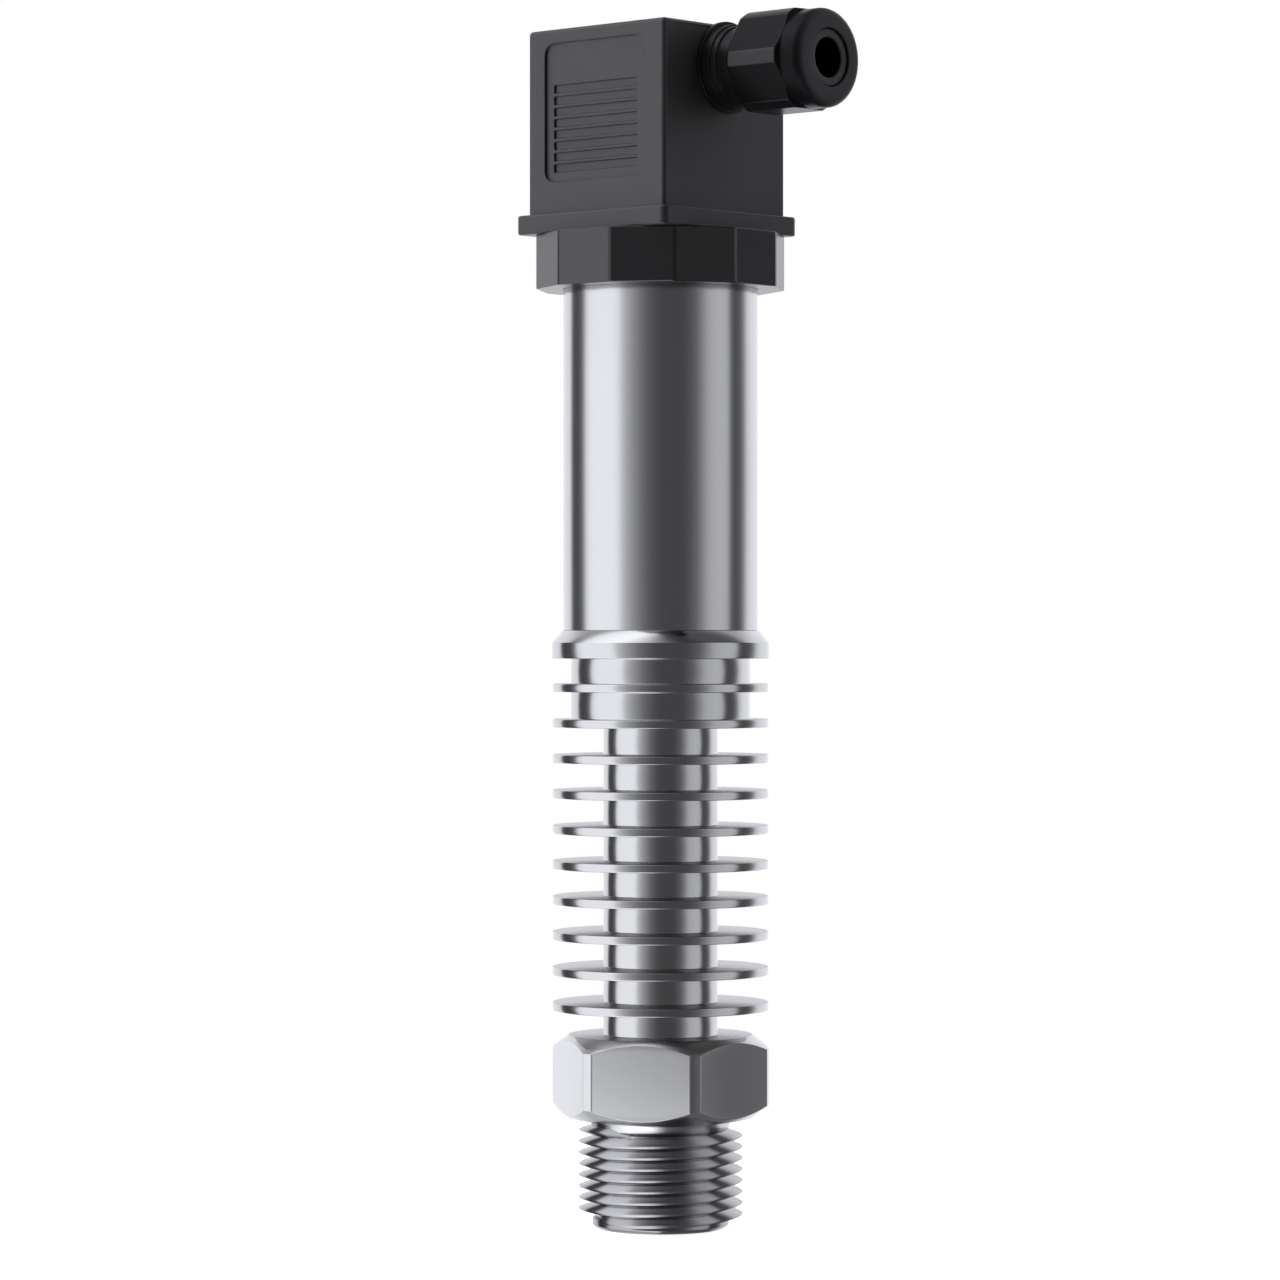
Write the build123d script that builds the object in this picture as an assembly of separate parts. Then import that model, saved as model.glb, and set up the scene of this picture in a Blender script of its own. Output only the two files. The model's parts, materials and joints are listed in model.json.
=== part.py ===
from build123d import *
import math
import os

# Pressure sensor with a finned cooling stem and a right-angle plug connector, in millimetres.
# The origin is the centre of the pressure port's mouth, +Z runs up the sensor's axis,
# the cable gland points along +X and the plug's grooved panel faces -Y.

# Process connection: pilot, threaded length, relief groove and spanner hexagon
PORT_RADIUS = 2.25
PILOT_RADIUS = 9.5
PILOT_LENGTH = 1.4
PILOT_CHAMFER = 0.5
THREAD_RADIUS = 11.55
THREAD_LENGTH = 12.4
THREAD_CHAMFER = 1.0
RELIEF_RADIUS = 9.7
RELIEF_LENGTH = 1.5
HEX_WIDTH = 27.0
HEX_HEIGHT = 11.5
HEX_BAR_RADIUS = 15.2
HEX_FACE_RADIUS = 12.75
HEX_CHAMFER = 1.85

# Cooling stem, neck and shoulder
STEM_RADIUS = 7.95
FIN_COUNT = 10
FIN_RADIUS = 15.0
FIN_THICKNESS = 1.14
FIN_PITCH = 4.91
FIN_START = 3.99
NECK_RADIUS = 12.45
NECK_FINS = 2
NECK_END = 4.05
FLANGE_RADIUS = 15.1
FLANGE_THICKNESS = 2.19
SHOULDER_RADIUS = 13.7
SHOULDER_HEIGHT = 1.68

# Housing tube and the spigot that it is welded on
TUBE_RADIUS = 13.5
TUBE_WALL = 1.2
TUBE_LENGTH = 51.85
TUBE_CHAMFER = 0.3
SPIGOT_HEIGHT = 4.0
SPIGOT_CLEARANCE = 0.05

# Sensing cell, its seal and its retaining ring in the pocket under the tube
CELL_RADIUS = 9.5
CELL_CLEARANCE = 0.05
CELL_HEIGHT = 10.0
CELL_RIM_WIDTH = 1.5
DIAPHRAGM_RECESS = 0.4
CELL_SEAL_SECTION = 0.9
CELL_SEAL_HEIGHT = 5.0
CELL_GROOVE_SLACK = 0.2
RETAINER_HEIGHT = 2.6
RETAINER_HOLE_RADIUS = 6.6
RETAINER_SLOT_WIDTH = 2.0
RETAINER_SLOT_DEPTH = 1.2
RETAINER_DEPTH = 1.2
HEADER_PIN_RADIUS = 0.35
HEADER_PIN_SPREAD = 6.5
HEADER_PIN_LENGTH = 5.0
HEADER_PIN_SINK = 1.0

# Electronics inside the tube
CARRIER_HEIGHT = 5.0
CARRIER_WALL = 1.6
CARRIER_CLEARANCE = 0.1
CARRIER_BAR_WIDTH = 5.0
BOARD_WIDTH = 20.0
BOARD_TOP_GAP = 8.8
BOARD_THICKNESS = 1.6
BOARD_SLOT_DEPTH = 2.5
CHIP_WIDTH = 7.0
CHIP_HEIGHT = 9.0
CHIP_THICKNESS = 1.6
CAPACITOR_RADIUS = 2.5
CAPACITOR_HEIGHT = 5.4
TRIMMER_SIZE = 4.5
TRIMMER_PITCH = 6.0
LEAD_RADIUS = 0.45
LEAD_BEND = 1.2
LEAD_OVERLAP = 3.0
LEAD_CLEARANCE = 0.1

# Twelve-sided coupling nut between the tube and the connector
NUT_SIDES = 12
NUT_WIDTH = 33.6
NUT_HEIGHT = 7.58
NUT_TURN = 17.9
NUT_OVERLAP = 4.5
NUT_CLEARANCE = 0.05
BASE_SEAL_SECTION = 0.6
BASE_SEAL_RADIUS = 12.1
BASE_SEAL_SQUEEZE = 0.1

# Connector base: square flange, threaded hub, ring nut, contact blades and screw insert
CONNECTOR_SHIFT = -0.7
FLANGE_SQUARE = 28.0
FLANGE_HEIGHT = 2.67
FLANGE_CORNER = 1.2
FLANGE_EDGE = 0.3
HUB_RADIUS = 10.6
HUB_CLEARANCE = 0.1
HUB_LENGTH = 6.4
RING_NUT_HEIGHT = 2.5
RING_NUT_CLEARANCE = 0.2
BLADE_WIDTH = 6.3
BLADE_THICKNESS = 0.8
BLADE_HEIGHT = 10.0
TAIL_WIDTH = 2.8
TAIL_LENGTH = 3.2
TAIL_STEP = 1.4
TAIL_WALL = 1.5
INSERT_RADIUS = 2.4
INSERT_LENGTH = 5.0

# Plug housing: shelled cube with a grooved panel, a screw well and a gland hub
HOUSING_WIDTH = 25.4
HOUSING_HEIGHT = 25.6
HOUSING_WALL = 1.5
HOUSING_ROOF = 1.8
HOUSING_CORNER = 0.7
HOUSING_TOP_EDGE = 0.6
PANEL_WIDTH = 18.3
PANEL_HEIGHT = 19.2
PANEL_CORNER = 1.6
PANEL_DEPTH = 0.35
PANEL_SIDE_SHIFT = -0.3
PANEL_BOTTOM = 4.4
GRIP_COUNT = 8
GRIP_PITCH = 1.56
GRIP_WIDTH = 1.16
GRIP_LENGTH = 15.4
GRIP_MARGIN = 1.35
GRIP_DEPTH = 0.3
WELL_DEPTH = 3.9
WELL_RADIUS = 3.1
WELL_WALL = 1.3
WELL_FLOOR = 2.0

# Plug inside: flat gasket, terminal block, female contacts and terminal screws
GASKET_THICKNESS = 1.5
GASKET_CLEARANCE = 0.1
BLOCK_HEIGHT = 12.5
BLOCK_CLEARANCE = 0.25
POCKET_WALL = 0.8
CLIP_WALL = 0.6
CLIP_CLEARANCE = 0.15
CLIP_HEIGHT = 11.2
CLAMP_HEIGHT = 2.4
TERMINAL_SCREW_RADIUS = 1.2
TERMINAL_SCREW_CLEARANCE = 0.1
TERMINAL_HEAD_RADIUS = 2.0
TERMINAL_HEAD_HEIGHT = 1.4
TERMINAL_SLOT_WIDTH = 0.5
TERMINAL_SLOT_DEPTH = 0.7

# Centre screw that holds the plug on its base
SCREW_RADIUS = 1.45
SCREW_CLEARANCE = 0.05
SCREW_PASSAGE = 0.35
SCREW_HEAD_RADIUS = 2.7
SCREW_HEAD_HEIGHT = 2.4
SCREW_HEAD_EDGE = 0.4
SCREW_SLOT_WIDTH = 0.8
SCREW_SLOT_DEPTH = 1.3
SCREW_SEAL_THICKNESS = 0.9
SCREW_TIP_GAP = 0.6

# Cable gland along +X, measured from the middle of the plug
GLAND_HEIGHT = 19.7
COLLAR_RADIUS = 6.3
COLLAR_LENGTH = 0.7
BOSS_RADIUS = 5.8
BOSS_LENGTH = 1.3
STEP_RADIUS = 5.55
STEP_LENGTH = 0.9
GLAND_TUBE_RADIUS = 5.3
GLAND_TUBE_LENGTH = 11.4
GLAND_TUBE_CHAMFER = 0.4
GLAND_PASSAGE = 3.6
GLAND_FIT = 0.08
CABLE_HOLE_RADIUS = 2.7
GROMMET_RADIUS = 4.4
GROMMET_LENGTH = 7.2
GROMMET_PROUD = 1.0
GROMMET_NOSE_RADIUS = 3.7
GROMMET_NOSE_RECESS = 0.3
GLAND_WASHER_THICKNESS = 0.8
GLAND_WASHER_RADIUS = 4.9
GLAND_NOSE_CLEARANCE = 0.3
GLAND_NUT_START = 5.9
GLAND_NUT_WIDTH = 13.5
GLAND_NUT_BAR_RADIUS = 7.35
GLAND_NUT_BACK_ROUND = 1.6
GLAND_HEX_LENGTH = 9.4
GLAND_DOME_RADIUS = 6.75
GLAND_DOME_LENGTH = 3.3
GLAND_DOME_ROUND = 1.5

# Heights that follow from the sizes above
thread_end = PILOT_LENGTH + THREAD_LENGTH
hex_bottom = thread_end + RELIEF_LENGTH
hex_top = hex_bottom + HEX_HEIGHT
first_fin = hex_top + FIN_START
last_fin = first_fin + FIN_PITCH * (FIN_COUNT - 1)
neck_bottom = last_fin - FIN_PITCH * (NECK_FINS - 1)
flange_bottom = last_fin + NECK_END
flange_top = flange_bottom + FLANGE_THICKNESS
shoulder_top = flange_top + SHOULDER_HEIGHT
spigot_top = shoulder_top + SPIGOT_HEIGHT
tube_top = shoulder_top + TUBE_LENGTH
nut_bottom = tube_top - NUT_OVERLAP
nut_top = nut_bottom + NUT_HEIGHT
hub_bottom = nut_top - HUB_LENGTH
plug_bottom = nut_top + FLANGE_HEIGHT
plug_top = plug_bottom + HOUSING_HEIGHT
gland_axis = plug_bottom + GLAND_HEIGHT

# Fits that follow from the sizes above
tube_bore = TUBE_RADIUS - TUBE_WALL
pocket_radius = CELL_RADIUS + CELL_CLEARANCE
retainer_top = spigot_top - RETAINER_DEPTH
cell_top = retainer_top - RETAINER_HEIGHT
cell_bottom = cell_top - CELL_HEIGHT
screw_hole = SCREW_RADIUS + SCREW_PASSAGE
cavity_width = HOUSING_WIDTH - 2 * HOUSING_WALL
block_width = cavity_width - 2 * BLOCK_CLEARANCE
slot_width = BLADE_WIDTH + 2 * CLIP_CLEARANCE
slot_depth = BLADE_THICKNESS + 2 * CLIP_CLEARANCE
clip_width = slot_width + 2 * CLIP_WALL
clip_depth = slot_depth + 2 * CLIP_WALL
blade_reach = block_width / 2 - POCKET_WALL - clip_depth / 2
blade_top = plug_bottom + BLADE_HEIGHT
tail_reach = HUB_RADIUS - abs(CONNECTOR_SHIFT) - TAIL_WALL - BLADE_THICKNESS / 2
block_bottom = plug_bottom + GASKET_THICKNESS
block_top = block_bottom + BLOCK_HEIGHT
clip_top = block_bottom + CLIP_HEIGHT
well_bottom = plug_top - WELL_DEPTH
screw_seat = well_bottom + SCREW_SEAL_THICKNESS
carrier_radius = tube_bore - CARRIER_CLEARANCE
carrier_top = spigot_top + CARRIER_HEIGHT
board_bottom = carrier_top - BOARD_SLOT_DEPTH
tail_bottom = hub_bottom - TAIL_LENGTH
board_top = tail_bottom - BOARD_TOP_GAP
lead_offset = BOARD_THICKNESS / 2 + LEAD_RADIUS
lead_row = CARRIER_BAR_WIDTH / 2 + LEAD_RADIUS + LEAD_CLEARANCE

# Stations along the gland, from the middle of the plug
hub_start = HOUSING_WIDTH / 2
collar_end = hub_start + COLLAR_LENGTH
boss_end = collar_end + BOSS_LENGTH
step_end = boss_end + STEP_LENGTH
gland_tube_end = step_end + GLAND_TUBE_LENGTH
grommet_face = gland_tube_end + GROMMET_PROUD
grommet_back = grommet_face - GROMMET_LENGTH
washer_front = grommet_face + GLAND_WASHER_THICKNESS
gland_nut_back = hub_start + GLAND_NUT_START
gland_hex_end = gland_nut_back + GLAND_HEX_LENGTH
gland_front = gland_hex_end + GLAND_DOME_LENGTH
nose_opening = GROMMET_NOSE_RADIUS + GLAND_NOSE_CLEARANCE

STANDING = (Align.CENTER, Align.CENTER, Align.MIN)


def disc(radius, bottom, top):
    """A round bar on the Z axis."""
    return Pos(0, 0, bottom) * Cylinder(radius, top - bottom, align=STANDING)


def ring(outer, inner, bottom, top):
    """A plain ring on the Z axis."""
    return disc(outer, bottom, top) - disc(inner, bottom, top)


def block(width, depth, bottom, top):
    """A rectangular block on the Z axis."""
    return Pos(0, 0, bottom) * Box(width, depth, top - bottom, align=STANDING)


def turned(points):
    """A solid turned about Z from points of radius and height."""
    return revolve(Plane.XZ * make_face(Polyline(*points, close=True)), Axis.Z)


def turned_along_x(points):
    """A solid turned about X from points of distance and radius."""
    return revolve(make_face(Polyline(*points, close=True)), Axis.X)


def seal_ring(radius, section, height):
    """A round-section seal on the Z axis."""
    return Pos(0, 0, height) * Torus(radius, section)


def at_connector(shape):
    """Moves a shape from the Z axis to the middle of the connector."""
    return Pos(CONNECTOR_SHIFT, 0, 0) * shape


def at_gland(shape):
    """Moves a shape turned about X to the gland's axis."""
    return Pos(CONNECTOR_SHIFT, 0, gland_axis) * shape


def turned_stem():
    """Pilot, threaded length, relief, stem, neck, shoulder and spigot, with the bore and the cell's pocket."""
    spigot_radius = tube_bore - SPIGOT_CLEARANCE
    return turned([
        (PORT_RADIUS, 0),
        (PILOT_RADIUS - PILOT_CHAMFER, 0),
        (PILOT_RADIUS, PILOT_CHAMFER),
        (PILOT_RADIUS, PILOT_LENGTH),
        (THREAD_RADIUS - THREAD_CHAMFER, PILOT_LENGTH),
        (THREAD_RADIUS, PILOT_LENGTH + THREAD_CHAMFER),
        (THREAD_RADIUS, thread_end - THREAD_CHAMFER),
        (THREAD_RADIUS - THREAD_CHAMFER, thread_end),
        (RELIEF_RADIUS, thread_end),
        (RELIEF_RADIUS, hex_bottom + HEX_HEIGHT / 2),
        (STEM_RADIUS, hex_bottom + HEX_HEIGHT / 2),
        (STEM_RADIUS, neck_bottom),
        (NECK_RADIUS, neck_bottom),
        (NECK_RADIUS, flange_bottom),
        (FLANGE_RADIUS, flange_bottom),
        (FLANGE_RADIUS, flange_top),
        (SHOULDER_RADIUS, shoulder_top),
        (spigot_radius, shoulder_top),
        (spigot_radius, spigot_top),
        (pocket_radius, spigot_top),
        (pocket_radius, cell_bottom),
        (PORT_RADIUS, cell_bottom),
    ])


def spanner_hexagon():
    """Hexagon with turned chamfers at both ends and its corners cut to the bar it is made from."""
    prism = Pos(0, 0, hex_bottom) * extrude(
        RegularPolygon(HEX_WIDTH / 2, 6, major_radius=False, rotation=90), HEX_HEIGHT
    )
    bar = turned([
        (0, hex_bottom),
        (HEX_FACE_RADIUS, hex_bottom),
        (HEX_BAR_RADIUS, hex_bottom + HEX_CHAMFER),
        (HEX_BAR_RADIUS, hex_top - HEX_CHAMFER),
        (HEX_FACE_RADIUS, hex_top),
        (0, hex_top),
    ])
    return (prism & bar) - disc(PORT_RADIUS, hex_bottom, hex_top)


def pressure_body():
    """The wetted part, turned from one bar: thread, hexagon, finned stem and the tube's shoulder."""
    body = turned_stem() + spanner_hexagon()
    for index in range(FIN_COUNT):
        middle = first_fin + index * FIN_PITCH
        root = NECK_RADIUS if index > FIN_COUNT - NECK_FINS else STEM_RADIUS
        inside = root - FIN_THICKNESS
        body += ring(FIN_RADIUS, inside, middle - FIN_THICKNESS / 2, middle + FIN_THICKNESS / 2)
    return body


def housing_tube():
    """Plain tube over the spigot, with its upper edge chamfered."""
    return turned([
        (tube_bore, shoulder_top),
        (TUBE_RADIUS, shoulder_top),
        (TUBE_RADIUS, tube_top - TUBE_CHAMFER),
        (TUBE_RADIUS - TUBE_CHAMFER, tube_top),
        (tube_bore, tube_top),
    ])


def cell_groove_radius():
    """Root of the seal's groove, so that the seal just reaches the pocket's wall."""
    return pocket_radius - 2 * CELL_SEAL_SECTION


def sensor_cell():
    """Sealed sensing cell: recessed diaphragm below, a seal groove round it and holes for its pins."""
    seal_middle = cell_bottom + CELL_SEAL_HEIGHT
    half_groove = CELL_SEAL_SECTION + CELL_GROOVE_SLACK / 2
    recess_radius = CELL_RADIUS - CELL_RIM_WIDTH
    cell = turned([
        (0, cell_bottom + DIAPHRAGM_RECESS),
        (recess_radius, cell_bottom + DIAPHRAGM_RECESS),
        (recess_radius, cell_bottom),
        (CELL_RADIUS, cell_bottom),
        (CELL_RADIUS, seal_middle - half_groove),
        (cell_groove_radius(), seal_middle - half_groove),
        (cell_groove_radius(), seal_middle + half_groove),
        (CELL_RADIUS, seal_middle + half_groove),
        (CELL_RADIUS, cell_top),
        (0, cell_top),
    ])
    for place in header_places():
        cell -= place * disc(HEADER_PIN_RADIUS, cell_top - HEADER_PIN_SINK, cell_top)
    return cell


def header_places():
    """Places of the cell's four pins, two on each side of the carrier's bar."""
    return [
        Pos(x * HEADER_PIN_SPREAD / 2, y * lead_row, 0)
        for x in (-1, 1)
        for y in (-1, 1)
    ]


def cell_seal():
    """Seal round the sensing cell."""
    middle = cell_bottom + CELL_SEAL_HEIGHT
    return seal_ring(pocket_radius - CELL_SEAL_SECTION, CELL_SEAL_SECTION, middle)


def cell_retainer():
    """Ring screwed in above the cell, with two slots for its key."""
    retainer = ring(CELL_RADIUS, RETAINER_HOLE_RADIUS, cell_top, retainer_top)
    slot = block(2 * CELL_RADIUS, RETAINER_SLOT_WIDTH, retainer_top - RETAINER_SLOT_DEPTH, retainer_top)
    return retainer - slot


def header_pins():
    """Glass-sealed pins that carry the cell's signal."""
    top = cell_top + HEADER_PIN_LENGTH
    pin = disc(HEADER_PIN_RADIUS, cell_top - HEADER_PIN_SINK, top)
    return Compound([place * pin for place in header_places()])


def board_carrier():
    """Moulded ring on the spigot, with a bar across it whose slot holds the board."""
    carrier = ring(carrier_radius, carrier_radius - CARRIER_WALL, spigot_top, carrier_top)
    bore = disc(carrier_radius, spigot_top, carrier_top)
    bar = block(2 * carrier_radius, CARRIER_BAR_WIDTH, spigot_top, carrier_top) & bore
    slot = block(BOARD_WIDTH, BOARD_THICKNESS, board_bottom, carrier_top)
    return carrier + bar - slot


def circuit_board():
    """Signal board, standing in the carrier's slot."""
    return block(BOARD_WIDTH, BOARD_THICKNESS, board_bottom, board_top)


def board_components():
    """Converter chip, trimmers and smoothing capacitor on the board's two faces."""
    face = BOARD_THICKNESS / 2
    middle = (carrier_top + board_top) / 2
    chip = Pos(0, -face - CHIP_THICKNESS / 2, middle) * Box(CHIP_WIDTH, CHIP_THICKNESS, CHIP_HEIGHT)
    capacitor = Pos(0, face, middle) * Rot(-90, 0, 0) * Cylinder(
        CAPACITOR_RADIUS, CAPACITOR_HEIGHT, align=STANDING
    )
    trimmer = Pos(0, face + TRIMMER_SIZE / 2, middle + TRIMMER_SIZE * 1.5) * Box(
        TRIMMER_SIZE, TRIMMER_SIZE, TRIMMER_SIZE
    )
    trimmers = [Pos(side * TRIMMER_PITCH / 2, 0, 0) * trimmer for side in (-1, 1)]
    return Compound([chip, capacitor] + trimmers)


def wire(points):
    """A thin insulated wire along straight runs joined by tangent bends."""
    path = FilletPolyline(*points, radius=LEAD_BEND)
    return sweep(Plane(origin=path @ 0, z_dir=path % 0) * Circle(LEAD_RADIUS), path=path)


def sensor_leads():
    """Wires from the cell's pins, beside the carrier's bar, to the foot of the board."""
    start = cell_top + HEADER_PIN_LENGTH
    leads = []
    for place in header_places():
        pin = place.position
        on_board = math.copysign(lead_offset, pin.Y)
        leads.append(wire([
            (pin.X, pin.Y, start),
            (pin.X, pin.Y, carrier_top + LEAD_BEND),
            (pin.X, on_board, carrier_top + 3 * LEAD_BEND),
            (pin.X, on_board, carrier_top + 3 * LEAD_BEND + LEAD_OVERLAP),
        ]))
    return Compound(leads)


def twelve_sided_nut():
    """Coupling nut: socket for the tube below, and above it a plate with the hub's hole and a seal groove."""
    nut = Pos(0, 0, nut_bottom) * extrude(
        RegularPolygon(NUT_WIDTH / 2, NUT_SIDES, major_radius=False, rotation=NUT_TURN), NUT_HEIGHT
    )
    nut -= disc(TUBE_RADIUS + NUT_CLEARANCE, nut_bottom, tube_top)
    nut -= disc(HUB_RADIUS + HUB_CLEARANCE, tube_top, nut_top)
    groove_depth = 2 * BASE_SEAL_SECTION - BASE_SEAL_SQUEEZE
    nut -= ring(
        BASE_SEAL_RADIUS + BASE_SEAL_SECTION,
        BASE_SEAL_RADIUS - BASE_SEAL_SECTION,
        nut_top - groove_depth,
        nut_top,
    )
    return nut


def base_seal():
    """Seal under the connector base, flattened by the flange above it."""
    middle = nut_top + BASE_SEAL_SQUEEZE - BASE_SEAL_SECTION
    seal = seal_ring(BASE_SEAL_RADIUS, BASE_SEAL_SECTION, middle)
    return seal & disc(NUT_WIDTH / 2, nut_top - 2 * BASE_SEAL_SECTION, nut_top)


def ring_nut():
    """Ring nut that pulls the connector base onto the coupling nut from inside."""
    outer = tube_bore - RING_NUT_CLEARANCE
    return ring(outer, HUB_RADIUS, tube_top - RING_NUT_HEIGHT, tube_top)


def blade():
    """Flat contact on the +X side: wide above the base, cranked and narrow through the hub."""
    step = plug_bottom - TAIL_STEP
    wide = block(BLADE_THICKNESS, BLADE_WIDTH, step, blade_top)
    wide = chamfer(edges_at_top(wide), BLADE_THICKNESS / 4)
    crank_length = abs(blade_reach - tail_reach) + BLADE_THICKNESS
    crank = block(crank_length, TAIL_WIDTH, step - BLADE_THICKNESS, step)
    narrow = block(BLADE_THICKNESS, TAIL_WIDTH, tail_bottom, step)
    middle = (blade_reach + tail_reach) / 2
    return Pos(blade_reach, 0, 0) * wide + Pos(middle, 0, 0) * crank + Pos(tail_reach, 0, 0) * narrow


def edges_at_top(shape):
    """The edges round a shape's highest face."""
    return shape.faces().sort_by(Axis.Z)[-1].edges()


def contact_blades():
    """The three signal contacts."""
    return Compound([Rot(0, 0, turn) * blade() for turn in (0, 90, 180)])


def earth_blade():
    """The earth contact, towards the grooved panel."""
    return Rot(0, 0, 270) * blade()


def connector_base():
    """Square flange with a threaded hub below it, holding the blades and the screw's insert."""
    flange = block(FLANGE_SQUARE, FLANGE_SQUARE, nut_top, plug_bottom)
    flange = fillet(flange.edges().filter_by(Axis.Z), FLANGE_CORNER)
    flange = fillet(flange.faces().sort_by(Axis.Z)[0].edges() + edges_at_top(flange), FLANGE_EDGE)
    hub = Pos(-CONNECTOR_SHIFT, 0, 0) * disc(HUB_RADIUS, hub_bottom, nut_top)
    base = flange + hub - disc(INSERT_RADIUS, plug_bottom - INSERT_LENGTH, plug_bottom)
    for contact in (contact_blades(), earth_blade()):
        base -= contact
    return base


def screw_insert():
    """Brass insert in the base that takes the centre screw."""
    return ring(INSERT_RADIUS, SCREW_RADIUS + SCREW_CLEARANCE, plug_bottom - INSERT_LENGTH, plug_bottom)


def output_leads():
    """Wires from the head of the board up to the tails of the signal contacts."""
    start = board_top - LEAD_OVERLAP
    reach = tail_reach - BLADE_THICKNESS / 2 - LEAD_RADIUS
    leads = []
    for turn in (0, 90, 180):
        tail = Rot(0, 0, turn) * Pos(reach, 0, 0)
        side = 1 if turn == 90 else -1
        x = CONNECTOR_SHIFT + tail.position.X
        y = side * lead_offset
        leads.append(wire([
            (x, y, start),
            (x, y, board_top + 2 * LEAD_BEND),
            (x, tail.position.Y, board_top + 5 * LEAD_BEND),
            (x, tail.position.Y, tail_bottom + LEAD_OVERLAP),
        ]))
    return Compound(leads)


def housing_shell():
    """The moulded cube, open below, with its corners and upper edges rounded."""
    shell = block(HOUSING_WIDTH, HOUSING_WIDTH, plug_bottom, plug_top)
    shell = fillet(shell.edges().filter_by(Axis.Z), HOUSING_CORNER)
    shell = fillet(edges_at_top(shell), HOUSING_TOP_EDGE)
    return shell - block(cavity_width, cavity_width, plug_bottom, plug_top - HOUSING_ROOF)


def grooved_panel():
    """The recess cut in the -Y face, with the grip grooves in its floor."""
    floor = HOUSING_WIDTH / 2 - PANEL_DEPTH
    bottom = plug_bottom + PANEL_BOTTOM
    face = Plane(origin=(PANEL_SIDE_SHIFT, -floor, bottom), x_dir=(1, 0, 0), z_dir=(0, -1, 0))
    outline = Pos(0, PANEL_HEIGHT / 2) * RectangleRounded(PANEL_WIDTH, PANEL_HEIGHT, PANEL_CORNER)
    recess = extrude(face * outline, PANEL_DEPTH)
    grooves = [
        Pos(0, GRIP_MARGIN + GRIP_WIDTH / 2 + index * GRIP_PITCH) * Rectangle(GRIP_LENGTH, GRIP_WIDTH)
        for index in range(GRIP_COUNT)
    ]
    return recess + extrude(face * Sketch(children=grooves), -GRIP_DEPTH)


def screw_well():
    """Well in the roof for the centre screw's head and seal."""
    return disc(WELL_RADIUS + WELL_WALL, well_bottom - WELL_FLOOR, plug_top - HOUSING_ROOF)


def gland_hub():
    """Stepped hub and the gland's threaded tube, from inside the wall outwards."""
    inside = cavity_width / 2
    return Pos(0, 0, gland_axis) * turned_along_x([
        (inside, GLAND_PASSAGE),
        (inside, COLLAR_RADIUS),
        (collar_end, COLLAR_RADIUS),
        (collar_end, BOSS_RADIUS),
        (boss_end, BOSS_RADIUS),
        (boss_end, STEP_RADIUS),
        (step_end, STEP_RADIUS),
        (step_end, GLAND_TUBE_RADIUS),
        (gland_tube_end - GLAND_TUBE_CHAMFER, GLAND_TUBE_RADIUS),
        (gland_tube_end, GLAND_TUBE_RADIUS - GLAND_TUBE_CHAMFER),
        (gland_tube_end, GROMMET_RADIUS),
        (grommet_back, GROMMET_RADIUS),
        (grommet_back, GLAND_PASSAGE),
    ])


def plug_housing():
    """The moulded plug: shell, grooved panel, screw well and gland hub in one piece."""
    housing = housing_shell() + screw_well()
    housing -= disc(WELL_RADIUS, well_bottom, plug_top)
    housing -= disc(screw_hole, well_bottom - WELL_FLOOR, well_bottom)
    housing -= Pos(0, 0, gland_axis) * Rot(0, 90, 0) * Cylinder(
        GLAND_PASSAGE, HOUSING_WIDTH / 2, align=STANDING
    )
    housing += gland_hub()
    return housing - grooved_panel()


def contact_places():
    """Turns of the four contacts round the connector's middle."""
    return [Rot(0, 0, 90 * index) for index in range(4)]


def gasket():
    """Flat gasket inside the plug's skirt, with holes for the blades and the screw."""
    width = cavity_width - 2 * GASKET_CLEARANCE
    flat = block(width, width, plug_bottom, block_bottom)
    flat -= disc(screw_hole, plug_bottom, block_bottom)
    opening = block(slot_depth, slot_width, plug_bottom, block_bottom)
    for place in contact_places():
        flat -= place * Pos(blade_reach, 0, 0) * opening
    return flat


def terminal_block():
    """Moulded insert with a pocket and a screw hole for each contact and a passage for the centre screw."""
    insert = block(block_width, block_width, block_bottom, block_top)
    insert -= disc(screw_hole, block_bottom, block_top)
    pocket = block(clip_depth, clip_width, block_bottom, clip_top)
    hole = disc(TERMINAL_SCREW_RADIUS + TERMINAL_SCREW_CLEARANCE, clip_top, block_top)
    for place in contact_places():
        insert -= place * Pos(blade_reach, 0, 0) * (pocket + hole)
    return insert


def female_contact():
    """Clip that grips a blade, with the wire clamp above it, on the +X side."""
    body = block(clip_depth, clip_width, block_bottom, clip_top)
    slot = block(slot_depth, slot_width, block_bottom, clip_top - CLAMP_HEIGHT)
    return Pos(blade_reach, 0, 0) * (body - slot)


def female_contacts():
    """The four female contacts."""
    return Compound([place * female_contact() for place in contact_places()])


def terminal_screw():
    """Slotted screw above a wire clamp, on the +X side."""
    shank = disc(TERMINAL_SCREW_RADIUS, clip_top, block_top)
    head = disc(TERMINAL_HEAD_RADIUS, block_top, block_top + TERMINAL_HEAD_HEIGHT)
    slot = block(
        2 * TERMINAL_HEAD_RADIUS,
        TERMINAL_SLOT_WIDTH,
        block_top + TERMINAL_HEAD_HEIGHT - TERMINAL_SLOT_DEPTH,
        block_top + TERMINAL_HEAD_HEIGHT,
    )
    return Pos(blade_reach, 0, 0) * (shank + head - slot)


def terminal_screws():
    """The four terminal screws."""
    return Compound([place * terminal_screw() for place in contact_places()])


def screw_seal():
    """Seal under the centre screw's head."""
    return ring(WELL_RADIUS, screw_hole, well_bottom, screw_seat)


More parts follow.
